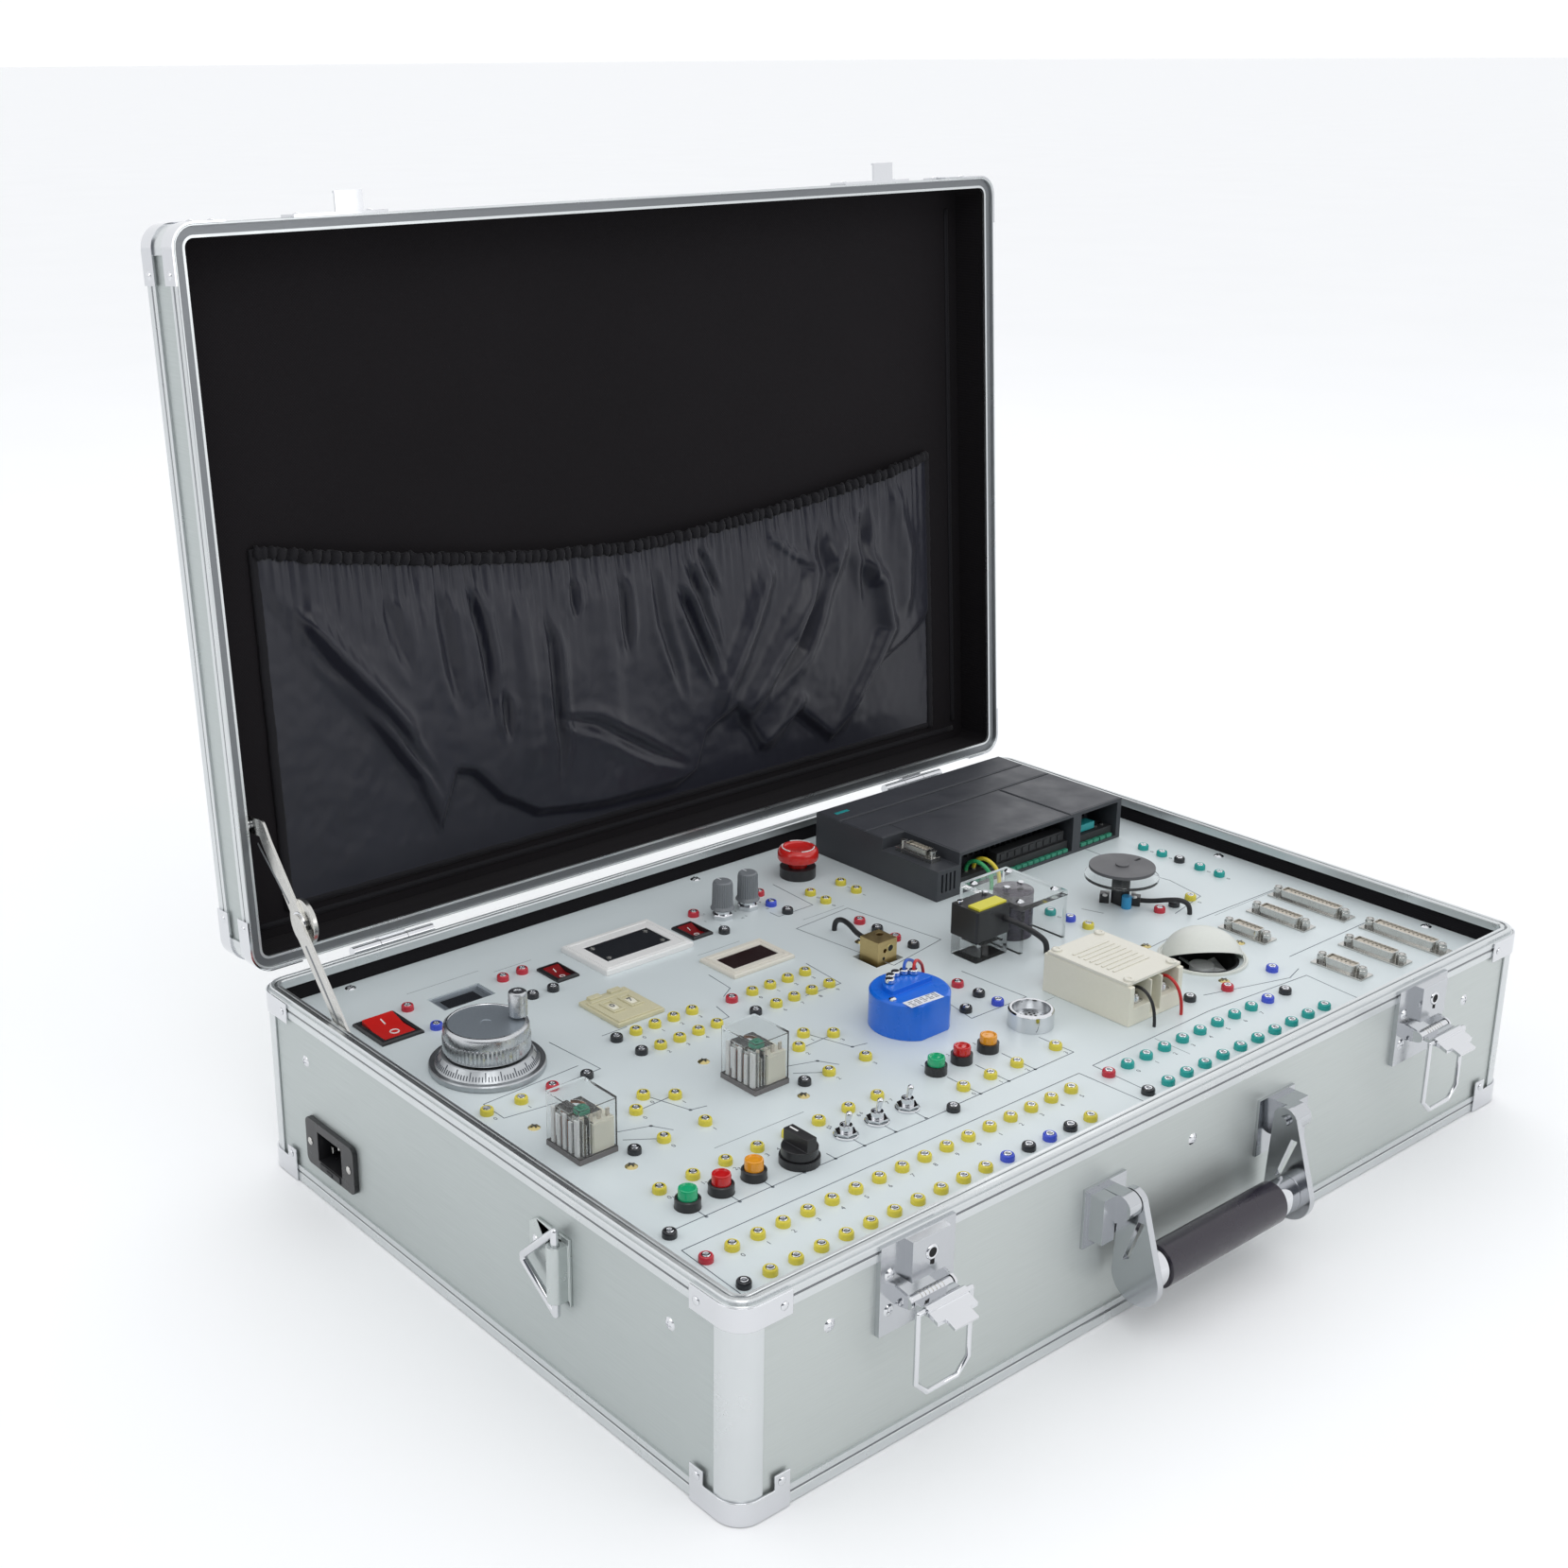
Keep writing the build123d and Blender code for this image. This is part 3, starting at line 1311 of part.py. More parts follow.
def latch_lever(side):
    x = side * latch_x
    pivot_y = -half_d - lever_out
    hub = rod_x(x - lever_w / 2, x + lever_w / 2, pivot_y, lever_z, 2.6)
    a = lever_w / 2
    y1 = pivot_y
    tip = pivot_y - lever_len
    shape = [(y1, lever_z + 1.4), (y1, lever_z - 1.2), (y1 - 12, lever_z - 2.2),
             (tip, lever_z - 5.6), (tip - 0.6, lever_z - 4.0), (y1 - 12, lever_z + 0.2)]
    blade = prism_x(shape, x - a, x + a)
    whole = hub + blade
    bail_y = pivot_y - bail_off
    lug = rod_x(x - a, x + a, bail_y, lever_z, 2.4)
    whole = whole + lug
    whole = whole - rod_x(x - a - 1, x + a + 1, pivot_y, lever_z, lever_pin_r + run_gap)
    end = block(x - a + 5, x + a - 5, tip - 2, tip + 5, lever_z - 20, lever_z + 9)
    corner_cut = block(x - a - 1, x + a + 1, tip - 2, tip + 5, lever_z - 20, lever_z + 9) - end
    whole = whole - corner_cut
    bore = rod_x(x - a - 1, x + a + 1, bail_y, lever_z, bail_wire_r + run_gap)
    return whole - bore


def latch_bail(side):
    x = side * latch_x
    pivot_y = -half_d - lever_out - bail_off
    r = bail_wire_r
    h = bail_w / 2
    low = lever_z - bail_len
    top_bar = rod_x(x - h, x + h, pivot_y, lever_z, r)
    bend = 7.0
    legs = []
    for s in (-1, 1):
        legs.append(rod_z(x + s * h, pivot_y, low + bend, lever_z, r))
        legs.append(Pos(x + s * h, pivot_y, lever_z) * Sphere(r))
        legs.append(Pos(x + s * h, pivot_y, low + bend) * Sphere(r))
        foot = Vector(x + s * (h - bend), pivot_y, low)
        top = Vector(x + s * h, pivot_y, low + bend)
        mid = (foot + top) * 0.5
        run = foot - top
        stub = Plane(origin=mid, z_dir=run) * Cylinder(r, run.length)
        legs.append(stub)
        legs.append(Pos(*foot) * Sphere(r))
    bar = rod_x(x - h + bend, x + h - bend, pivot_y, low, r)
    return top_bar + legs + bar


def handle():
    pivot_y = -half_d - handle_pivot_out
    gy = -half_d - grip_out
    inner_x = bracket_x - 4.6 - move_gap
    pieces = []
    for s in (-1, 1):
        xs = sorted((s * (inner_x - arm_t), s * inner_x))
        arm = capsule(pivot_y, handle_pivot_z, arm_top_r, gy, grip_z, arm_low_r, xs[0], xs[1])
        arm = arm - rod_x(xs[0] - 1, xs[1] + 1, pivot_y, handle_pivot_z, handle_pin_r + run_gap)
        slit = prism_x([(gy + 8, grip_z + 7), (gy + 4.5, grip_z + 9), (gy - 3, grip_z + 31),
                        (gy + 0.5, grip_z + 31)], xs[0] - 1, xs[1] + 1)
        pieces.append(arm - slit)
    reach = inner_x - arm_t
    half = grip_len / 2
    oval = Ellipse(grip_ry, grip_rz)
    grip = extrude(Plane.YZ.offset(-half) * (Pos(gy, grip_z) * oval), amount=grip_len)
    pieces.append(grip)
    for s in (-1, 1):
        xs = sorted((s * half, s * reach))
        ring = Ellipse(grip_ry - 1.5, grip_rz - 1.5)
        pieces.append(extrude(Plane.YZ.offset(xs[0]) * (Pos(gy, grip_z) * ring),
                              amount=xs[1] - xs[0]))
    return pieces


def strap_ring(side):
    x = side * (half_w - skin + plate_t + strap_tube_r)
    y = strap_y
    low = strap_low + tube_short - 7.0
    high = strap_high - tube_short + 7.0
    r = ring_wire_r
    tip_low = Vector(x, y + ring_reach, (low + high) / 2 - 5)
    tip_high = Vector(x, y + ring_reach, (low + high) / 2 - 2)
    a = Vector(x, y, low)
    b = Vector(x, y, high)
    loop = rod_z(x, y, low, high, r)
    for start, end in ((a, tip_low), (tip_low, tip_high), (tip_high, b)):
        run = end - start
        mid = (start + end) * 0.5
        loop = loop + Plane(origin=mid, z_dir=run) * Cylinder(r, run.length)
    for corner in (a, b, tip_low, tip_high):
        loop = loop + Pos(*corner) * Sphere(r)
    return loop


# Lid, modelled closed and then swung open

def lid_boards():
    left = block(-half_w + board_out, -half_w + board_in, -half_d + corner_r,
                 half_d - corner_r, lid_web_z + lid_web_t, lid_top - sole_t)
    right = block(half_w - board_in, half_w - board_out, -half_d + corner_r,
                  half_d - corner_r, lid_web_z + lid_web_t, lid_top - sole_t)
    front = block(-half_w + corner_r, half_w - corner_r, -half_d + board_out,
                  -half_d + board_in, lid_web_z + lid_web_t, lid_top - sole_t)
    back = block(-half_w + corner_r, half_w - corner_r, half_d - board_in,
                 half_d - board_out, lid_web_z + lid_web_t, lid_top - sole_t)
    roof = RectangleRounded(case_w - 2 * board_in, case_d - 2 * board_in, corner_r - board_in)
    roof = Pos(0, 0, lid_top - sole_t - board_t) * extrude(roof, amount=board_t)
    return [left, right, front, back, roof]


def lid_frame():
    tongue = lip_depth + lid_gap
    rim = case_ring(0, 1.0, lid_low, lid_low + lid_rim_h)
    rim = rim + case_ring(1.0, lid_rim_w, lid_web_z, lid_web_z + lid_web_t)
    rim = rim + case_ring(tongue, lid_rim_w, lid_low, lid_web_z)
    rim = rim + case_ring(1.0, skin, lid_web_z + lid_web_t, lid_low + lid_rim_h)
    edge = case_ring(0, skin, lid_top - lid_edge_h, lid_top)
    edge = edge + case_ring(skin, foot_flange, lid_top - sole_t, lid_top)
    outside = case_ring(0, skin, lid_low + lid_rim_h, lid_top - lid_edge_h)
    inside = case_ring(skin, board_in, lid_web_z + lid_web_t, lid_top - sole_t)
    posts = []
    tall = lid_top + 5
    for leg, core in zip(four_corners(post_leg, 0, tall), four_corners(corner_r, 0, tall)):
        posts.append((outside & leg) + (inside & core))
    return mitred(rim, 0, tall) + mitred(edge, 0, tall) + posts


def lid_lining():
    low = lid_web_z + lid_web_t
    high = lid_top - sole_t - board_t
    wall = case_ring(board_in, lid_inner, low, high)
    roof = RectangleRounded(case_w - 2 * lid_inner, case_d - 2 * lid_inner, corner_r - lid_inner)
    roof = Pos(0, 0, high - lid_lining_t) * extrude(roof, amount=lid_lining_t)
    return [wall, roof]


def lid_fittings():
    pieces = []
    upper = case_ring(-cap_t, 0, lid_top - cap_h, lid_top)
    lower = case_ring(-cap_t, 0, lid_low, lid_low + cap_h)
    for big in four_corners(cap_span, 0, lid_top + 1):
        pieces.append(upper & big)
        pieces.append(lower & big)
    one = rivet()
    for z in (lid_low + cap_h / 2, lid_top - cap_h / 2):
        for s in (-1, 1):
            x = s * (half_w - rivet_in)
            y = s * (half_d - rivet_in)
            pieces.append(to_front(one, x, -half_d - cap_t, z))
            pieces.append(to_back(one, x, half_d + cap_t, z))
            pieces.append(to_left(one, -half_w - cap_t, y, z))
            pieces.append(to_right(one, half_w + cap_t, y, z))
    for side in (-1, 1):
        pieces += hinge_moving(side)
        pieces += strike(side)
    return pieces


def strike(side):
    x = side * latch_x - 5
    half = strike_w / 2
    y0 = -half_d - plate_t
    low = lid_low + 0.5
    plate = block(x - half, x + half, y0, -half_d, low, low + 14)
    hook_half = bail_w / 2 - 8.0
    hook_x0 = side * latch_x - hook_half
    hook_x1 = side * latch_x + hook_half
    arm_y = -half_d - lever_out - 3.2
    arm = block(hook_x0, hook_x1, arm_y, y0, low, low + 1.4)
    lip = block(hook_x0, hook_x1, arm_y, arm_y + 1.2, low, low + 2.3)
    pieces = [plate, arm + lip]
    for dx in (-22, 22):
        pieces.append(to_front(rivet(2.2, 0.9), x + dx, y0, low + 9))
    return pieces


def pocket():
    high = lid_top - sole_t - board_t - lid_lining_t - seat_gap
    low_y = half_d - pocket_low
    top_y = hinge_y - pocket_top
    hem = [(-pocket_half, top_y - pocket_sag), (-0.42 * pocket_half, top_y - 0.3 * pocket_sag),
           (0, top_y), (0.42 * pocket_half, top_y - 0.25 * pocket_sag),
           (pocket_half, top_y - 0.7 * pocket_sag)]
    outline = hem + [(pocket_half - 2, low_y), (-pocket_half + 2, low_y + 2)]
    thin = 3.0
    edge_y = top_y - pocket_sag - 1
    section = [(low_y + 3, high), (edge_y, high), (edge_y, high - pocket_mouth),
               (top_y + 12, high - pocket_mouth), (top_y + 40, high - pocket_bulge),
               (top_y + 100, high - 0.75 * pocket_bulge), (low_y - 25, high - 6),
               (low_y + 3, high - thin)]
    side = [(-pocket_half - 1, high), (-pocket_half - 1, high - thin),
            (-pocket_half + 45, high - pocket_bulge), (pocket_half - 45, high - pocket_bulge),
            (pocket_half + 1, high - thin), (pocket_half + 1, high)]
    body = prism_x(section, -pocket_half - 1, pocket_half + 1)
    body = body & prism_z(outline, high - pocket_bulge - 1, high + 1)
    face = Plane.XZ * Polygon(*side, align=None)
    body = body & extrude(face, amount=case_d, both=True)
    slit = block(-pocket_half + 12, pocket_half - 12, top_y - pocket_sag - 2, top_y + 22,
                 high - 3.4, high - 1.2)
    return body - slit


# Stay between the base and the lid, left side only

def stay_lower():
    x0 = -half_w + stay_in
    x1 = x0 + stay_t
    knee = (134.9, 119.1)
    arm = bar_yz([(stay_base_y, stay_base_z), knee, (stay_mid_y, stay_mid_z)], stay_w, x0, x1)
    hole = rod_x(x0 - 1, x1 + 1, stay_base_y, stay_base_z, 2.0 + run_gap)
    return arm - hole


def stay_upper():
    x0 = -half_w + stay_in + stay_t + seat_gap
    x1 = x0 + stay_t
    points = [(stay_lid_y, stay_lid_z), (203.5, 196.5), (198.0, 189.0), (stay_mid_y, stay_mid_z)]
    arm = bar_yz(points, stay_w - 1, x0, x1)
    disc = rod_x(x1, x1 + stay_disc_t, stay_mid_y, stay_mid_z, stay_disc_r)
    disc = chamfer(disc.edges().sort_by(Axis.X)[-1], 0.6)
    hole = rod_x(x0 - 1, x1 + 1, stay_lid_y, stay_lid_z, 2.0 + run_gap)
    return (arm + disc) - hole


def stay_rivets():
    wall = -half_w + inner
    x1 = -half_w + stay_in + stay_t
    low = rod_x(wall, x1, stay_base_y, stay_base_z, 2.0)
    low = low + rod_x(wall, -half_w + stay_in - seat_gap, stay_base_y, stay_base_z, 4.0)
    low = low + to_right(rivet(4.0, 1.6), x1 + seat_gap, stay_base_y, stay_base_z)
    low = low + rod_x(x1, x1 + seat_gap, stay_base_y, stay_base_z, 2.0)
    wall = -half_w + lid_inner
    x0 = -half_w + stay_in + stay_t + seat_gap
    x2 = x0 + stay_t
    top = rod_x(wall, x2 + seat_gap, stay_lid_y, stay_lid_z, 2.0)
    top = top + rod_x(wall, x0 - seat_gap, stay_lid_y, stay_lid_z, 3.1)
    top = top + to_right(rivet(4.0, 1.6), x2 + seat_gap, stay_lid_y, stay_lid_z)
    return low, top


def main():
    os.makedirs("parts", exist_ok=True)
    base_pin, lid_pin = stay_rivets()
    save("base_boards", base_boards())
    save("base_frame", base_frame())
    save("base_lining", base_lining())
    save("base_corner_caps", base_caps())
    save("control_panel", control_panel())
    save("screws", screws())
    save("mains_inlet", mains_inlet())
    save("power_supply", power_supply())
    hardware = [handle_bracket(-1), handle_bracket(1)]
    hardware += latch_plate(-1) + latch_plate(1)
    hardware += strap_plate(-1) + strap_plate(1)
    hardware.append(base_pin)
    save("base_hardware", hardware)
    save("base_hinge_leaves", hinge_fixed(-1), hinge_fixed(1))
    collars = [rocker_frame(main_rocker, 26, 31, 19.8, 25.6, 16)]
    collars += [rocker_frame(at, 15, 21, 11.6, 17.4, 13) for at in small_rockers]
    collars += [button_collar(at) for at in buttons_at]
    collars += [lamp_body(at) for at in lamps_at]
    collars += [selector_base(), thumbwheel_body()]
    save("control_collars", collars)
    bushings = [toggle_bushing(at) for at in toggles_at]
    bushings += [pot_bushing(at) for at in pot_at]
    bushings += [stop_base(), buzzer()]
    save("control_bushings", bushings)
    save("panel_meters", panel_meters())
    save("handwheel_base", wheel_base())
    save("yellow_jacks", jacks(yellow_places()))
    save("supply_jacks", jacks(red_places() + black_places()))
    save("signal_jacks", jacks(blue_places() + green_places()))
    save("lamp_lenses", [lamp_lens(at) for at in lamps_at])
    save("plc_housing", plc_housing())
    save("relay_covers", [relay_cover(at) for at in relays_at])
    save("relay_cores", [relay_core(at) for at in relays_at])
    save("heater_block", heater())
    save("temperature_transmitter", transmitter())
    save("photo_sensor", photo_sensor())
    save("acrylic_stands", acrylic_stands())
    save("solid_state_relay", solid_relay())
    save("dome_hood", dome_hood())
    save("d_sub_connectors", d_subs())
    save("hookup_wires", hookup_wires())
    save("lid_boards", opened(lid_boards()))
    save("lid_frame", opened(lid_frame()))
    save("lid_lining", opened(lid_lining()))
    save("lid_fittings", opened(lid_fittings()), lid_pin)
    save("lid_pocket", opened(pocket()))
    save("stay_lower_arm", stay_lower())
    save("stay_upper_arm", stay_upper())
    save("left_latch_lever", latch_lever(-1))
    save("right_latch_lever", latch_lever(1))
    save("left_latch_bail", latch_bail(-1))
    save("right_latch_bail", latch_bail(1))
    save("handle", handle())
    save("left_strap_ring", strap_ring(-1))
    save("right_strap_ring", strap_ring(1))
    save("power_rocker", rocker(main_rocker, 19.8, 25.6, 6))
    save("dc_rocker", rocker(small_rockers[0], 11.6, 17.4, 7))
    save("adjust_rocker", rocker(small_rockers[1], 11.6, 17.4, 7))
    save("handwheel", handwheel())
    save("crank_knob", crank_knob())
    save("left_pot_knob", pot_knob(pot_at[0]))
    save("right_pot_knob", pot_knob(pot_at[1]))
    save("e_stop_head", stop_head())
    save("green_button", button(buttons_at[0]))
    save("red_button", button(buttons_at[1]))
    save("amber_button", button(buttons_at[2]))
    save("selector_knob", selector_knob())
    save("toggle_1", toggle(toggles_at[0]))
    save("toggle_2", toggle(toggles_at[1]))
    save("toggle_3", toggle(toggles_at[2]))
    save("sensor_disc", sensor_disc())
    save("fan_rotor", fan_rotor())


main()
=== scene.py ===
import bpy
import bmesh
import json
from math import cos, exp, hypot, pi, radians, sin, sqrt
from mathutils import Matrix, Vector, noise
from mathutils.bvhtree import BVHTree

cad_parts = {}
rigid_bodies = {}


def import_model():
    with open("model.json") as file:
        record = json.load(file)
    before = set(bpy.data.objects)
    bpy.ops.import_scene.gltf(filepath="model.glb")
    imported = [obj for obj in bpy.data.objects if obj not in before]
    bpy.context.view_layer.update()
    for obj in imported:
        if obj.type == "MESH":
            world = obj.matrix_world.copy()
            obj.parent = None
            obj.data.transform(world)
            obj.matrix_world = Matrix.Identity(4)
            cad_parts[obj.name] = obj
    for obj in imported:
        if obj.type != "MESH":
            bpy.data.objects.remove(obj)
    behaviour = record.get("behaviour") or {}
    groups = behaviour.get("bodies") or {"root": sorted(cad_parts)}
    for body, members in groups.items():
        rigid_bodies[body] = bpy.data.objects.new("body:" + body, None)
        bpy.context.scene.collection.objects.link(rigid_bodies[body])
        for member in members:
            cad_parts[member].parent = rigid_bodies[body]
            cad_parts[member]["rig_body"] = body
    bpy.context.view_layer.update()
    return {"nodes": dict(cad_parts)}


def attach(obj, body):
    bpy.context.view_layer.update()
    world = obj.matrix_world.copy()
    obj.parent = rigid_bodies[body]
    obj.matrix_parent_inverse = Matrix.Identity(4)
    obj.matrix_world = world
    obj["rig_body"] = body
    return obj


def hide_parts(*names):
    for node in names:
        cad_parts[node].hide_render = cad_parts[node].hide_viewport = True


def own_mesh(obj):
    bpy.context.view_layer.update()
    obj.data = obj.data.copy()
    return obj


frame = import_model()
MM = 0.001
TOP = 95.0          # top of the control panel, in millimetres
TILT = 94.1         # how far the lid stands open
HINGE = (204.5, 108.0)
scene = bpy.context.scene


# Materials

def rgb(c):
    return (c[0], c[1], c[2], 1.0)


class Nodes:
    def __init__(self, name):
        self.m = bpy.data.materials.new(name)
        self.m.use_nodes = True
        self.t = self.m.node_tree
        self.b = self.t.nodes["Principled BSDF"]
        self.coord = self.add("ShaderNodeTexCoord")

    def add(self, kind, **values):
        n = self.t.nodes.new(kind)
        for k, v in values.items():
            if hasattr(n, k):
                setattr(n, k, v)
            else:
                n.inputs[k.replace("_", " ")].default_value = v
        return n

    def link(self, a, b):
        self.t.links.new(a, b)

    def place(self, scale=(1, 1, 1), turn=(0, 0, 0)):
        m = self.add("ShaderNodeMapping")
        m.inputs["Scale"].default_value = scale
        m.inputs["Rotation"].default_value = turn
        self.link(self.coord.outputs["Object"], m.inputs["Vector"])
        return m.outputs["Vector"]

    def noise(self, scale, detail=3.0, rough=0.5, stretch=(1, 1, 1), turn=(0, 0, 0)):
        n = self.add("ShaderNodeTexNoise")
        n.inputs["Scale"].default_value = scale
        n.inputs["Detail"].default_value = detail
        n.inputs["Roughness"].default_value = rough
        self.link(self.place(stretch, turn), n.inputs["Vector"])
        return n.outputs["Fac"]

    def wave(self, scale, axis, distort=0.0, turn=(0, 0, 0)):
        n = self.add("ShaderNodeTexWave")
        n.wave_type = "BANDS"
        n.bands_direction = axis
        n.inputs["Scale"].default_value = scale
        n.inputs["Distortion"].default_value = distort
        n.inputs["Detail Scale"].default_value = 2.0
        self.link(self.place(turn=turn), n.inputs["Vector"])
        return n.outputs["Fac"]

    def math(self, op, a, b=None, c=None):
        n = self.add("ShaderNodeMath")
        n.operation = op
        for i, v in enumerate((a, b, c)):
            if v is None:
                continue
            if isinstance(v, (int, float)):
                n.inputs[i].default_value = v
            else:
                self.link(v, n.inputs[i])
        return n.outputs[0]

    def ranged(self, value, lo, hi, frm=0.3, to=0.7):
        n = self.add("ShaderNodeMapRange")
        n.inputs["From Min"].default_value = frm
        n.inputs["From Max"].default_value = to
        n.inputs["To Min"].default_value = lo
        n.inputs["To Max"].default_value = hi
        self.link(value, n.inputs["Value"])
        return n.outputs[0]

    def mix(self, factor, a, b, blend="MIX"):
        n = self.add("ShaderNodeMix")
        n.data_type = "RGBA"
        n.blend_type = blend
        if isinstance(factor, (int, float)):
            n.inputs[0].default_value = factor
        else:
            self.link(factor, n.inputs[0])
        for slot, v in ((6, a), (7, b)):
            if isinstance(v, tuple):
                n.inputs[slot].default_value = v
            else:
                self.link(v, n.inputs[slot])
        return n.outputs[2]

    def color(self, out):
        self.link(out, self.b.inputs["Base Color"])

    def rough(self, out):
        self.link(out, self.b.inputs["Roughness"])

    def bump(self, height, strength, distance=0.0002):
        n = self.add("ShaderNodeBump")
        n.inputs["Strength"].default_value = strength
        n.inputs["Distance"].default_value = distance
        self.link(height, n.inputs["Height"])
        self.link(n.outputs["Normal"], self.b.inputs["Normal"])

    def set(self, **values):
        for k, v in values.items():
            self.b.inputs[k.replace("_", " ")].default_value = v
        return self


def shade(c, k):
    return rgb([min(1.0, v * k) for v in c])


def plastic(name, c, rough=0.35, grain=900.0, bump=0.06, vary=0.06, **extra):
    n = Nodes(name)
    fine = n.noise(grain, 2.0)
    wide = n.noise(14.0, 3.0)
    base = n.mix(n.ranged(wide, 0, 1), shade(c, 1 - vary), shade(c, 1 + vary))
    n.color(n.mix(n.ranged(fine, 0, 0.5), base, shade(c, 1 - 1.5 * vary)))
    n.rough(n.ranged(n.noise(60.0, 4.0), rough * 0.82, rough * 1.2))
    n.bump(fine, bump)
    n.set(**extra)
    return n.m


def metal(name, c, rough=0.25, stretch=(1, 1, 1), grain=260.0, bump=0.05, vary=0.05, metallic=1.0,
          **extra):
    n = Nodes(name)
    fine = n.noise(grain, 4.0, 0.6, stretch)
    wide = n.noise(9.0, 3.0)
    base = n.mix(n.ranged(wide, 0, 1), shade(c, 1 - vary), shade(c, 1 + vary))
    n.color(n.mix(n.ranged(fine, 0, 0.6), base, shade(c, 1 - 2 * vary)))
    n.rough(n.ranged(fine, rough * 0.8, rough * 1.25))
    n.bump(fine, bump, 0.0001)
    n.set(Metallic=metallic, **extra)
    return n.m


def cloth(name, c, crown_highlight, rough=0.9, period=0.0012, bump=0.2, sheen=0.05, vary=0.12,
          gloss=0.15):
    n = Nodes(name)
    k = 1.0 / period / 3.183
    slant = (0.0, radians(45.0), 0.0)
    weave = n.math("MULTIPLY", n.wave(k, "X", turn=slant), n.wave(k, "Z", turn=slant))
    fuzz = n.noise(900.0, 3.0)
    height = n.math("ADD", weave, n.math("MULTIPLY", fuzz, 0.6))
    base = n.mix(n.ranged(n.noise(9.0, 4.0), 0, 1), shade(c, 1 - vary), shade(c, 1 + vary))
    # Raised weave lighter: the crowns of the threads get a painted highlight colour
    n.color(n.mix(n.ranged(height, 0, 0.8, 0.4, 1.5), base, rgb(crown_highlight)))
    n.rough(n.ranged(fuzz, rough * 0.9, min(1.0, rough * 1.08)))
    n.bump(height, bump, 0.0002)
    n.set(Sheen_Weight=sheen, Sheen_Roughness=0.5, Specular_IOR_Level=gloss)
    return n.m


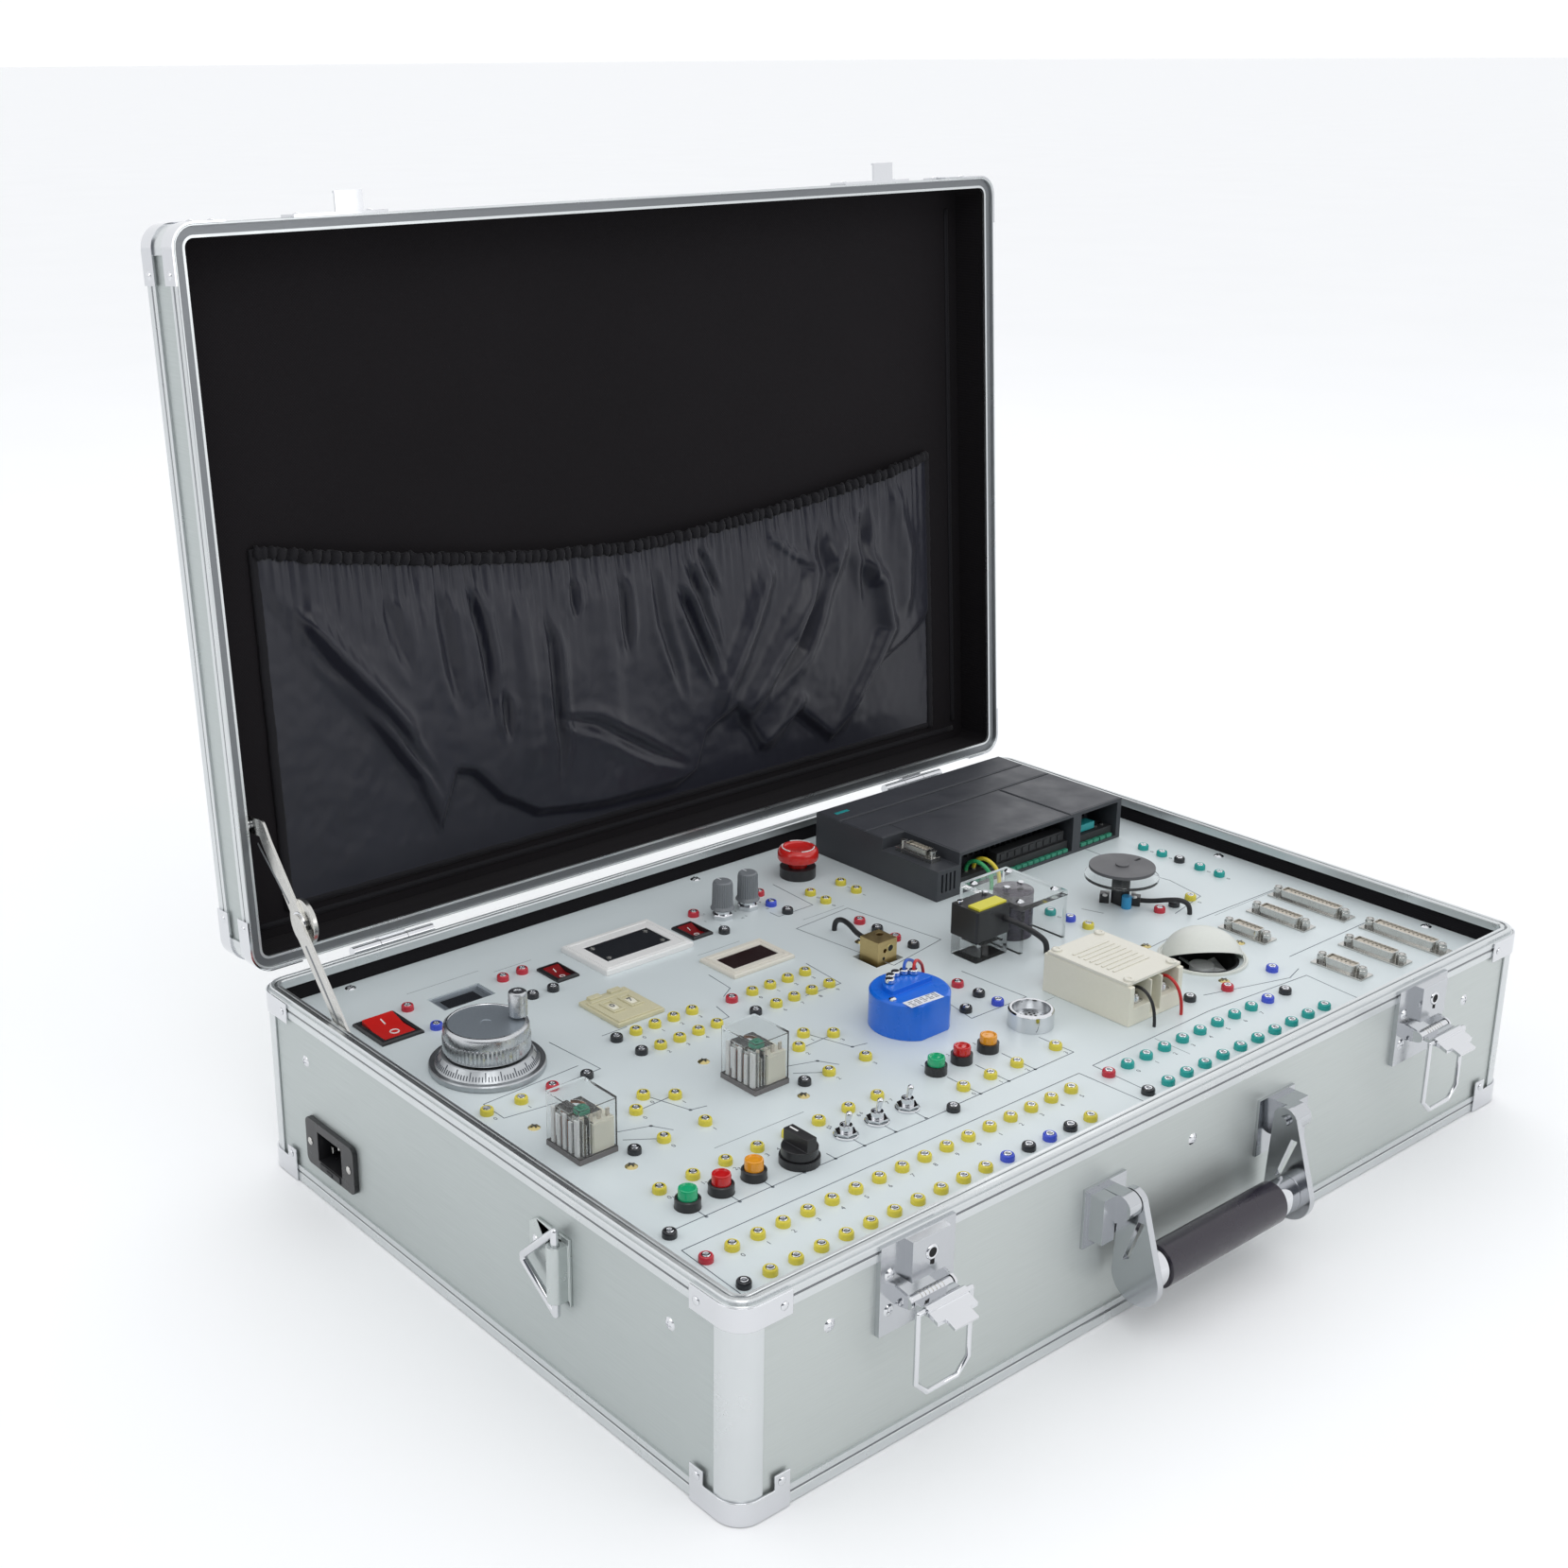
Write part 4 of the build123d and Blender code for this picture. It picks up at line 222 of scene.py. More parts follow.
M = {
    # One board skin in two painted tones: the front and back boards get the lit copy, the side boards a darker copy
    # standing in for the shade on the sides
    "skin_lit_copy": metal("skin_lit_copy", (0.555, 0.59, 0.575), 0.42, (1, 1, 60), 30.0, 0.03, 0.015, 0.75),
    "skin_shaded_copy": metal("skin_shaded_copy", (0.50, 0.54, 0.532), 0.44, (1, 1, 60), 30.0, 0.03, 0.015, 0.70),
    "rail": metal("rail", (0.66, 0.685, 0.69), 0.30, (1, 1, 1), 40.0, 0.0, 0.006, 0.95),
    # Dark metal used only as painted shade: strips in the rail grooves and the lid gap, crosses in the screw slots, the
    # slots of the stay arms
    "painted_recess_shade": metal("painted_recess_shade", (0.20, 0.21, 0.22), 0.35, (4, 4, 60), 60.0, 0.03, 0.03, 0.9),
    "chrome": metal("chrome", (0.70, 0.71, 0.73), 0.07, (1, 1, 1), 60.0, 0.0, 0.01),
    "satin": metal("satin", (0.54, 0.555, 0.575), 0.15, (1, 1, 1), 300.0, 0.0, 0.01),
    "plate": metal("plate", (0.56, 0.60, 0.59), 0.32, (1, 1, 1), 200.0, 0.0, 0.01, 0.8),
    "nickel": metal("nickel", (0.58, 0.575, 0.55), 0.24, (1, 1, 1), 300.0, 0.03, 0.04),
    "turned": metal("turned", (0.56, 0.575, 0.59), 0.27, (1, 1, 1), 300.0, 0.006, 0.015),
    "flange": metal("flange", (0.47, 0.49, 0.505), 0.34, (1, 1, 1), 500.0, 0.03, 0.02),
    "wheel_top": metal("wheel_top", (0.30, 0.34, 0.38), 0.42, (1, 1, 1), 900.0, 0.04, 0.03, 0.6),
    "zinc": metal("zinc", (0.60, 0.62, 0.63), 0.35, (1, 1, 1), 90.0, 0.04, 0.07),
    "brass": metal("brass", (0.62, 0.47, 0.22), 0.33, (1, 1, 12), 200.0, 0.08, 0.08),
    "brass_screw": metal("brass_screw", (0.62, 0.52, 0.24), 0.28, (1, 1, 1), 300.0, 0.05, 0.08),
    "copper": metal("copper", (0.60, 0.26, 0.14), 0.35, (1, 1, 60), 300.0, 0.2, 0.1),
    # The second colour of each cloth is its painted highlight on the weave crowns
    "lining": cloth("lining", (0.0085, 0.0072, 0.0085), (0.017, 0.015, 0.017), 0.95, 0.0012, 0.25, 0.02),
    "felt": cloth("felt", (0.008, 0.0075, 0.009), (0.013, 0.012, 0.014), 0.95, 0.0010, 0.2, 0.02),
    "binding": cloth("binding", (0.0085, 0.008, 0.010), (0.020, 0.019, 0.023), 0.7, 0.0010, 0.4, 0.06),
    "nylon": cloth("nylon", (0.0080, 0.0085, 0.0165), (0.0135, 0.0145, 0.026), 0.34, 0.0007, 0.08, 0.06, 0.08,
                   0.42),
    "panel": plastic("panel", (0.66, 0.725, 0.74), 0.34, 1500.0, 0.02, 0.012),
    "ivory": plastic("ivory", (0.74, 0.71, 0.63), 0.36, 600.0, 0.04, 0.03),
    "beige": plastic("beige", (0.62, 0.585, 0.40), 0.42, 600.0, 0.05, 0.05),
    "ink_line": plastic("ink_line", (0.17, 0.20, 0.23), 0.45, 900.0, 0.02, 0.05),
    "glass_frame": plastic("glass_frame", (0.30, 0.34, 0.38), 0.25, 300.0, 0.02, 0.05),
    "glass_brown": plastic("glass_brown", (0.022, 0.010, 0.010), 0.10, 300.0, 0.01, 0.05),
    "sensor_blue": plastic("sensor_blue", (0.03, 0.30, 0.58), 0.35, 500.0, 0.05, 0.05),
    "motor_can": metal("motor_can", (0.10, 0.09, 0.11), 0.25, (1, 1, 20), 200.0, 0.03, 0.05),
    "relay_base": plastic("relay_base", (0.16, 0.15, 0.15), 0.25, 500.0, 0.05, 0.06),
    "clear_cream": plastic("clear_cream", (0.74, 0.72, 0.63), 0.22, 500.0, 0.04, 0.03),
    "ink": plastic("ink", (0.07, 0.08, 0.10), 0.45, 900.0, 0.02, 0.05),
    "black": plastic("black", (0.018, 0.018, 0.020), 0.30, 900.0, 0.05, 0.08),
    "black_matt": plastic("black_matt", (0.022, 0.023, 0.025), 0.55, 900.0, 0.12, 0.08),
    "rubber": plastic("rubber", (0.016, 0.016, 0.018), 0.5, 700.0, 0.1, 0.08),
    "grip": plastic("grip", (0.016, 0.011, 0.022), 0.27, 500.0, 0.03, 0.10, Coat_Weight=0.25,
                    Coat_Roughness=0.12),
    "slate": plastic("slate", (0.046, 0.050, 0.058), 0.48, 700.0, 0.10, 0.06),
    "slate_roof": plastic("slate_roof", (0.050, 0.053, 0.063), 0.46, 700.0, 0.10, 0.05),
    "teal": plastic("teal", (0.02, 0.33, 0.34), 0.35),
    "pcb_green": plastic("pcb_green", (0.03, 0.26, 0.16), 0.35),
    "yellow": plastic("yellow", (0.70, 0.60, 0.06), 0.28, 700.0, 0.03, 0.05),
    "jack_red": plastic("jack_red", (0.52, 0.025, 0.045), 0.26, 700.0, 0.03, 0.05),
    "jack_black": plastic("jack_black", (0.022, 0.024, 0.028), 0.25, 700.0, 0.03, 0.05),
    "jack_blue": plastic("jack_blue", (0.05, 0.09, 0.62), 0.26, 700.0, 0.03, 0.05),
    "jack_green": plastic("jack_green", (0.015, 0.36, 0.33), 0.26, 700.0, 0.03, 0.05),
    # Near-black discs set in bores and holes: painted shade standing in for the dark inside them
    "hole_shade": plastic("hole_shade", (0.008, 0.008, 0.008), 0.8),
    "red": plastic("red", (0.62, 0.015, 0.012), 0.22, 600.0, 0.03, 0.06, Coat_Weight=0.4,
                   Coat_Roughness=0.1),
    "dark_red": plastic("dark_red", (0.22, 0.006, 0.008), 0.20, 600.0, 0.03, 0.06,
                        Coat_Weight=0.4, Coat_Roughness=0.1),
    "white": plastic("white", (0.86, 0.86, 0.85), 0.35),
    "cream": plastic("cream", (0.80, 0.775, 0.655), 0.42, 600.0, 0.06, 0.03),
    "cream_dark": plastic("cream_dark", (0.48, 0.46, 0.38), 0.45, 600.0, 0.06, 0.03),
    "blue": plastic("blue", (0.004, 0.145, 0.72), 0.30, 600.0, 0.05, 0.06, Coat_Weight=0.25,
                    Coat_Roughness=0.15),
    "label": plastic("label", (0.78, 0.80, 0.84), 0.4),
    "label_yellow": plastic("label_yellow", (0.72, 0.66, 0.05), 0.4),
    "grey_knob": plastic("grey_knob", (0.19, 0.205, 0.22), 0.35, 700.0, 0.05, 0.04),
    "fan": plastic("fan", (0.80, 0.82, 0.82), 0.40),
    "hood": plastic("hood", (0.70, 0.72, 0.67), 0.42, 700.0, 0.05, 0.03),
    "disc": plastic("disc", (0.105, 0.105, 0.112), 0.5, 900.0, 0.08, 0.05),
    "lens_green": plastic("lens_green", (0.01, 0.40, 0.17), 0.16, 500.0, 0.03, 0.08,
                          Coat_Weight=0.5, Coat_Roughness=0.05),
    "lens_red": plastic("lens_red", (0.55, 0.01, 0.012), 0.16, 500.0, 0.03, 0.08,
                        Coat_Weight=0.5, Coat_Roughness=0.05),
    "lens_amber": plastic("lens_amber", (0.80, 0.33, 0.02), 0.16, 500.0, 0.03, 0.08,
                          Coat_Weight=0.5, Coat_Roughness=0.05),
    "wire_red": plastic("wire_red", (0.55, 0.02, 0.02), 0.35),
    "wire_green": plastic("wire_green", (0.03, 0.35, 0.12), 0.35),
    "wire_yellow": plastic("wire_yellow", (0.75, 0.60, 0.05), 0.35),
    "wire_blue": plastic("wire_blue", (0.02, 0.10, 0.5), 0.35),
    "contact": plastic("contact", (0.55, 0.50, 0.42), 0.4),
    "glass_dark": plastic("glass_dark", (0.016, 0.018, 0.022), 0.10, 300.0, 0.01, 0.05),
    "glass_grey": plastic("glass_grey", (0.13, 0.15, 0.17), 0.14, 300.0, 0.01, 0.05),
    "stencil": plastic("stencil", (0.12, 0.13, 0.14), 0.5),
}


def clear(name, c, rough=0.04, alpha=0.28):
    n = Nodes(name)
    n.color(n.mix(n.ranged(n.noise(20.0), 0, 1), shade(c, 0.96), rgb(c)))
    n.rough(n.ranged(n.noise(90.0, 3.0), rough * 0.7, rough * 1.5))
    n.bump(n.noise(60.0, 2.0), 0.02)
    n.set(Transmission_Weight=1.0 - alpha, IOR=1.16)
    return n.m


M["clear"] = clear("clear", (0.96, 0.975, 0.975), 0.025, 0.03)
M["clear_cover"] = clear("clear_cover", (0.97, 0.98, 0.98), 0.03, 0.03)


# Mesh helpers: everything is given in millimetres

def finish_mesh(name, bm, material, body, sharp=35.0, bevel=0.0, segments=2, smooth=True):
    bmesh.ops.scale(bm, vec=(MM, MM, MM), verts=bm.verts)
    bm.normal_update()
    for f in bm.faces:
        f.smooth = smooth
    for e in bm.edges:
        if len(e.link_faces) == 2:
            e.smooth = e.calc_face_angle(0.0) < radians(sharp)
        else:
            e.smooth = False
    me = bpy.data.meshes.new(name)
    bm.to_mesh(me)
    bm.free()
    ob = bpy.data.objects.new(name, me)
    scene.collection.objects.link(ob)
    me.materials.append(M[material] if isinstance(material, str) else material)
    if bevel:
        b = ob.modifiers.new("bevel", "BEVEL")
        b.width = bevel * MM
        b.segments = segments
        b.limit_method = "ANGLE"
        b.angle_limit = radians(sharp)
        b.harden_normals = True
    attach(ob, body)
    return ob


def islands(node, tolerance=2e-6):
    """The separate closed shapes of a node, each a list of faces in one bmesh."""
    bm = bmesh.new()
    bm.from_mesh(frame["nodes"][node].data)
    bmesh.ops.scale(bm, vec=(1000, 1000, 1000), verts=bm.verts)
    bmesh.ops.remove_doubles(bm, verts=bm.verts, dist=tolerance * 1000)
    seen = set()
    groups = []
    for start in bm.faces:
        if start in seen:
            continue
        stack = [start]
        seen.add(start)
        faces = set()
        while stack:
            f = stack.pop()
            faces.add(f)
            for e in f.edges:
                if len(e.link_faces) != 2:      # solids that only touch stay apart
                    continue
                for other in e.link_faces:
                    if other not in seen:
                        seen.add(other)
                        stack.append(other)
        points = [u.co for f in faces for u in f.verts]
        lo = Vector(map(min, zip(*points)))
        hi = Vector(map(max, zip(*points)))
        groups.append((faces, lo, hi))
    return bm, groups


def dress(node, pick, bevel=0.25, sharp=32.0):
    """Pieces of a node in their own finishes. pick(lo, hi) names the finish of one closed shape, or None to leave it out."""
    bm, groups = islands(node)
    body = frame["nodes"][node]["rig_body"]
    sorted_out = {}
    for faces, lo, hi in groups:
        name = pick(lo, hi) if callable(pick) else pick
        if name:
            sorted_out.setdefault(name, []).extend(faces)
    made = []
    for name, faces in sorted_out.items():
        out = bmesh.new()
        index = {}
        for f in faces:
            vs = []
            for v in f.verts:
                if v.index not in index:
                    index[v.index] = out.verts.new(v.co)
                vs.append(index[v.index])
            try:
                out.faces.new(vs)
            except ValueError:
                pass
        out.normal_update()
        bmesh.ops.dissolve_limit(out, angle_limit=radians(0.8), verts=out.verts, edges=out.edges)
        ob = finish_mesh(node + "_" + name, out, name, body, sharp, bevel)
        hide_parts(node)
        made.append(ob)
    bm.free()
    return made


def centres(node):
    bm, groups = islands(node)
    found = [((lo + hi) / 2, lo, hi) for _, lo, hi in groups]
    bm.free()
    return found


def box(bm, x0, x1, y0, y1, z0, z1, turn=None):
    m = Matrix.Translation(((x0 + x1) / 2, (y0 + y1) / 2, (z0 + z1) / 2))
    if turn is not None:
        m = m @ turn
    m = m @ Matrix.Diagonal((x1 - x0, y1 - y0, z1 - z0, 1.0))
    return bmesh.ops.create_cube(bm, size=1.0, matrix=m)["verts"]


def lathe(bm, profile, at=(0, 0, 0), axis="Z", seg=40, close=False, teeth=None):
    """A turned shape. profile is (radius, height) from one end to the other."""
    turn = {"Z": Matrix.Identity(4), "X": Matrix.Rotation(pi / 2, 4, "Y"),
            "Y": Matrix.Rotation(-pi / 2, 4, "X"), "-Y": Matrix.Rotation(pi / 2, 4, "X"),
            "-X": Matrix.Rotation(-pi / 2, 4, "Y")}[axis]
    m = Matrix.Translation(at) @ turn
    rings = []
    for k, (r, h) in enumerate(profile):
        if r <= 1e-6:
            rings.append([bm.verts.new(m @ Vector((0, 0, h)))])
            continue
        ring = []
        for i in range(seg):
            a = 2 * pi * i / seg
            rr = r
            if teeth and teeth[0] <= k <= teeth[1]:
                rr = r - teeth[2] * (i % 2)
            ring.append(bm.verts.new(m @ Vector((rr * cos(a), rr * sin(a), h))))
        rings.append(ring)
    for a, b in zip(rings[:-1], rings[1:]):
        for i in range(seg):
            j = (i + 1) % seg
            if len(a) == 1 and len(b) == 1:
                continue
            if len(a) == 1:
                bm.faces.new((a[0], b[i], b[j]))
            elif len(b) == 1:
                bm.faces.new((a[i], a[j], b[0]))
            else:
                bm.faces.new((a[i], a[j], b[j], b[i]))
    if close:
        for ring, back in ((rings[0], True), (rings[-1], False)):
            if len(ring) > 2:
                bm.faces.new(list(reversed(ring)) if back else ring)
    return rings


def piece(name, material, body="case_base", sharp=35.0, bevel=0.0, segments=2, matrix=None,
          stands_for=()):
    """Collects shapes into one named piece: use as  with piece(...) as bm."""
    class Piece:
        def __enter__(self):
            self.bm = bmesh.new()
            return self.bm

        def __exit__(self, *a):
            if a[0] is None:
                if matrix is not None:
                    bmesh.ops.transform(self.bm, matrix=matrix, verts=self.bm.verts)
                bmesh.ops.recalc_face_normals(self.bm, faces=self.bm.faces)
                ob = finish_mesh(name, self.bm, material, body, sharp, bevel, segments)
                for node in stands_for:
                    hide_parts(node)
            return False
    return Piece()


# Camera

cam_data = bpy.data.cameras.new("camera")
cam = bpy.data.objects.new("camera", cam_data)
scene.collection.objects.link(cam)
scene.camera = cam
yaw, pitch, roll = -0.677202, -0.326938, -0.006164
ahead = Vector((cos(pitch) * sin(-yaw), cos(pitch) * cos(yaw), sin(pitch)))
side = ahead.cross(Vector((0, 0, 1))).normalized()
over = side.cross(ahead)
right = cos(roll) * side + sin(roll) * over
up = -sin(roll) * side + cos(roll) * over
turned = Matrix((right, up, -ahead)).transposed().to_4x4()
cam.matrix_world = Matrix.Translation((-0.76538, -0.73253, 0.59014)) @ turned
cam_data.lens = 46.83
cam_data.sensor_width = 36.0
cam_data.shift_x = 0.0777
cam_data.shift_y = -0.0240
cam_data.clip_start = 0.02
cam_data.clip_end = 400.0


# Floor and light

def soft_light(name, at, aim, size, power, tint=(1, 1, 1)):
    data = bpy.data.lights.new(name, "AREA")
    data.shape = "RECTANGLE"
    data.size, data.size_y = size
    data.energy = power
    data.color = tint
    ob = bpy.data.objects.new(name, data)
    scene.collection.objects.link(ob)
    ob.location = at
    ob.rotation_euler = (Vector(aim) - Vector(at)).to_track_quat("-Z", "Y").to_euler()


world = bpy.data.worlds.new("studio")
scene.world = world
world.use_nodes = True
sky = world.node_tree
way = sky.nodes.new("ShaderNodeTexCoord")
behind = sky.nodes.new("ShaderNodeVectorMath")
behind.operation = "DOT_PRODUCT"
behind.inputs[1].default_value = (-0.66, -0.72, -0.05)
ramp = sky.nodes.new("ShaderNodeMapRange")
ramp.inputs["From Min"].default_value = 0.58
ramp.inputs["From Max"].default_value = 0.80
dim = sky.nodes.new("ShaderNodeMix")
dim.data_type = "RGBA"
dim.inputs[6].default_value = (1.02, 1.03, 1.05, 1.0)
dim.inputs[7].default_value = (0.13, 0.14, 0.16, 1.0)
sky.links.new(way.outputs["Generated"], behind.inputs[0])
sky.links.new(behind.outputs["Value"], ramp.inputs["Value"])
sky.links.new(ramp.outputs[0], dim.inputs[0])
sky.links.new(dim.outputs[2], sky.nodes["Background"].inputs["Color"])
sky.nodes["Background"].inputs["Strength"].default_value = 1.0
soft_light("key", (-1.2, -1.6, 2.3), (0, 0, 0.1), (1.4, 1.4), 12)
soft_light("fill", (-2.4, 0.6, 1.2), (0, 0, 0.15), (1.2, 1.2), 3)
soft_light("back", (1.2, 1.6, 1.9), (0, 0, 0.2), (1.6, 1.2), 4)
soft_light("front", (0.6, -2.4, 0.9), (0, 0, 0.15), (1.4, 0.8), 4)
scene.view_settings.view_transform = "Standard"

floor_mat = Nodes("floor")
floor_mat.color(floor_mat.mix(floor_mat.ranged(floor_mat.noise(3.0), 0, 1),
                              rgb((0.96, 0.965, 0.97)), rgb((0.975, 0.98, 0.985))))
floor_mat.rough(floor_mat.ranged(floor_mat.noise(8.0), 0.75, 0.85))
floor_mesh = bpy.data.meshes.new("floor")
floor_mesh.from_pydata([(-150, -150, 0), (150, -150, 0), (150, 150, 0), (-150, 150, 0)], [], [(0, 1, 2, 3)])
floor_mesh.materials.append(floor_mat.m)
floor_ob = bpy.data.objects.new("floor", floor_mesh)
floor_ob.location.z = -0.0004
scene.collection.objects.link(floor_ob)


# Nodes of the case in their own finishes; the boards in a lit and a painted shaded copy of one skin

# Front and back boards get the lit copy of the skin, side boards the painted shaded copy
def board_lit_or_shaded_skin(lo, hi):
    return "skin_lit_copy" if hi.x - lo.x > 30 else "skin_shaded_copy"


# Shapes that more than one piece uses

LID = (Matrix.Translation((0, HINGE[0], HINGE[1])) @ Matrix.Rotation(radians(-TILT), 4, "X")
       @ Matrix.Translation((0, -HINGE[0], -HINGE[1])))     # from the closed lid to the open one


def swept_ring(bm, profile, w, d, radius=12.0, steps=6):
    """A closed section swept round a rectangle of half sizes w and d. profile is (inset, height)."""
    loops = []
    for inset, z in profile:
        r = max(0.6, radius - inset)
        loop = []
        for cx, cy, start in ((1, 1, 0), (-1, 1, 90), (-1, -1, 180), (1, -1, 270)):
            for i in range(steps + 1):
                a = radians(start + 90.0 * i / steps)
                loop.append(bm.verts.new((cx * (w - inset - r) + r * cos(a),
                                          cy * (d - inset - r) + r * sin(a), z)))
        loops.append(loop)
    n = len(loops[0])
    for a, b in zip(loops, loops[1:] + loops[:1]):
        for i in range(n):
            j = (i + 1) % n
            bm.faces.new((a[i], a[j], b[j], b[i]))


def tube(bm, points, radius, seg=10, flatten=(1.0, 1.0), ruffle=None, closed=False):
    """A round or flattened tube along points. ruffle(i, angle) scales its radius."""
    rings = []
    n = len(points)
    for i, p in enumerate(points):
        a = points[(i - 1) % n] if closed or i > 0 else points[i]
        b = points[(i + 1) % n] if closed or i < n - 1 else points[i]
        t = (Vector(b) - Vector(a)).normalized()
        ref = Vector((0, 0, 1)) if abs(t.z) < 0.9 else Vector((0, 1, 0))
        side = t.cross(ref).normalized()
        up = side.cross(t)
        ring = []
        for k in range(seg):
            ang = 2 * pi * k / seg
            r = radius * (ruffle(i, ang) if ruffle else 1.0)
            ring.append(bm.verts.new(Vector(p) + side * (r * cos(ang) * flatten[0])
                                     + up * (r * sin(ang) * flatten[1])))
        rings.append(ring)
    pairs = list(zip(rings[:-1], rings[1:])) + ([(rings[-1], rings[0])] if closed else [])
    for a, b in pairs:
        for k in range(seg):
            j = (k + 1) % seg
            bm.faces.new((a[k], a[j], b[j], b[k]))
    if not closed:
        bm.faces.new(list(reversed(rings[0])))
        bm.faces.new(rings[-1])


def stroke(bm, points, width=0.55, z=TOP, thick=0.05):
    """A printed line on a level face."""
    for (x0, y0), (x1, y1) in zip(points[:-1], points[1:]):
        length = hypot(x1 - x0, y1 - y0)
        if length < 1e-6:
            continue
        nx, ny = -(y1 - y0) / length * width / 2, (x1 - x0) / length * width / 2
        low, high = [], []
        for x, y in ((x0 - nx, y0 - ny), (x1 - nx, y1 - ny), (x1 + nx, y1 + ny), (x0 + nx, y0 + ny)):
            low.append(bm.verts.new((x, y, z - 0.02)))
            high.append(bm.verts.new((x, y, z + thick)))
        bm.faces.new(high)
        bm.faces.new(list(reversed(low)))
        for i in range(4):
            j = (i + 1) % 4
            bm.faces.new((low[i], low[j], high[j], high[i]))


def disc(bm, x, y, r, z=TOP, thick=0.05, seg=12):
    lathe(bm, [(r, z - 0.02), (r, z + thick), (0, z + thick)], (x, y, 0), seg=seg)


def numerals(bm, marks, thick=0.05):
    """Plain numbers as raised print. marks is (text, x, y, z, size, turn)."""
    for text, x, y, z, size, turn in marks:
        curve = bpy.data.curves.new("numeral", "FONT")
        curve.body = text
        curve.size = size
        curve.extrude = thick / 2
        curve.align_x = "CENTER"
        curve.align_y = "CENTER"
        curve.resolution_u = 3
        ob = bpy.data.objects.new("numeral", curve)
        me = bpy.data.meshes.new_from_object(ob)
        me.transform(Matrix.Translation((x, y, z + thick / 2)) @ Matrix.Rotation(radians(turn), 4, "Z"))
        bm.from_mesh(me)
        bpy.data.meshes.remove(me)
        bpy.data.objects.remove(ob)
        bpy.data.curves.remove(curve)


def top_of(node):
    """Gives the height of a node's upper surface over a point, in millimetres."""
    me = frame["nodes"][node].data
    tree = BVHTree.FromPolygons([v.co for v in me.vertices], [tuple(p.vertices) for p in me.polygons])

    def at(x, y, default=TOP):
        hit = tree.ray_cast(Vector((x * MM, y * MM, 1.0)), Vector((0, 0, -1)))
        return hit[0].z / MM if hit[0] is not None else default
    return at


def smooth(lo, hi, v):
    t = min(1.0, max(0.0, (v - lo) / (hi - lo)))
    return t * t * (3 - 2 * t)


# The case: rails with a rolled edge and a groove, boards, posts and fittings

def posts_only(lo, hi):
    return "rail" if 14.0 < hi.x - lo.x < 16.0 else None


dress("base_boards", board_lit_or_shaded_skin, 0)
dress("lid_boards", board_lit_or_shaded_skin, 0)
dress("base_frame", posts_only, 0.35)
dress("lid_frame", posts_only, 0.35)
RIM = [(0, 99.5), (0, 102.9), (0.4, 103.2), (0.4, 104.4), (0, 104.7), (0, 107.3), (0.5, 107.8),
       (1.2, 107.8), (1.2, 109.4), (1.8, 110), (3.6, 110), (3.9, 109.4), (4.8, 109.4), (5.1, 110),
       (6.6, 110), (7.2, 109.4), (7.2, 104.8), (1.25, 104.8), (1.25, 99.5)]
FOOT = [(0, 10.1), (0, 6.9), (0.4, 6.6), (0.4, 5.5), (0, 5.2), (0, 0.6), (0.6, 0), (10, 0), (10, 1.55),
        (1.25, 1.55), (1.25, 10.1)]
LID_RIM = [(0, 108.5), (0.3, 108.2), (0.9, 108.2), (1.1, 108.4), (1.1, 110.4), (5.6, 110.4), (5.6, 110.15),
           (7.0, 110.15), (7.0, 112.0), (1.25, 112.0), (1.25, 116.5),
           (0, 116.5), (0, 113.9), (0.4, 113.6), (0.4, 112.4), (0, 112.1)]
LID_EDGE = [(0, 134.1), (0, 137.4), (0.4, 137.7), (0.4, 138.8), (0, 139.1), (0, 143.4), (0.8, 144.2),
            (10, 144.2), (10, 142.65), (1.25, 142.65), (1.25, 134.1)]
with piece("base_rim_rail", "rail", sharp=28, stands_for=("base_frame",)) as bm:
    swept_ring(bm, RIM, 300, 200)
with piece("base_foot_rail", "rail", sharp=28, stands_for=("base_frame",)) as bm:
    swept_ring(bm, FOOT, 300, 200)
with piece("lid_rim_rail", "rail", "lid", sharp=28, stands_for=("lid_frame",), matrix=LID) as bm:
    swept_ring(bm, LID_RIM, 300, 200)
with piece("lid_edge_rail", "rail", "lid", sharp=28, stands_for=("lid_frame",), matrix=LID) as bm:
    swept_ring(bm, LID_EDGE, 300, 200)
# Thin dark rings in the grooves of the base and lid rails and in the gap under the lid: painted shadow lines
with piece("base_rail_groove_shade", "painted_recess_shade", sharp=28) as bm:
    swept_ring(bm, [(0.3, 103.2), (0.3, 104.4), (0.5, 104.4), (0.5, 103.2)], 300, 200)
    swept_ring(bm, [(0.3, 5.5), (0.3, 6.6), (0.5, 6.6), (0.5, 5.5)], 300, 200)
    swept_ring(bm, [(3.9, 109.3), (3.9, 109.5), (4.8, 109.5), (4.8, 109.3)], 300, 200)
with piece("lid_rail_groove_shade", "painted_recess_shade", "lid", sharp=28, matrix=LID) as bm:
    swept_ring(bm, [(0.3, 112.4), (0.3, 113.6), (0.5, 113.6), (0.5, 112.4)], 300, 200)
    swept_ring(bm, [(0.3, 137.7), (0.3, 138.8), (0.5, 138.8), (0.5, 137.7)], 300, 200)
    swept_ring(bm, [(1.2, 110.2), (5.5, 110.2), (5.5, 110.45), (1.2, 110.45)], 300, 200)
dress("base_corner_caps", "chrome", 0.4)
dress("lid_fittings", "chrome", 0.3)
def hardware_finish(lo, hi):
    if hi.x < -298 or lo.x > 298:
        return "plate" if hi.z - lo.z > 20 else "chrome"
    return "satin" if hi.z - lo.z > 9 else "chrome"


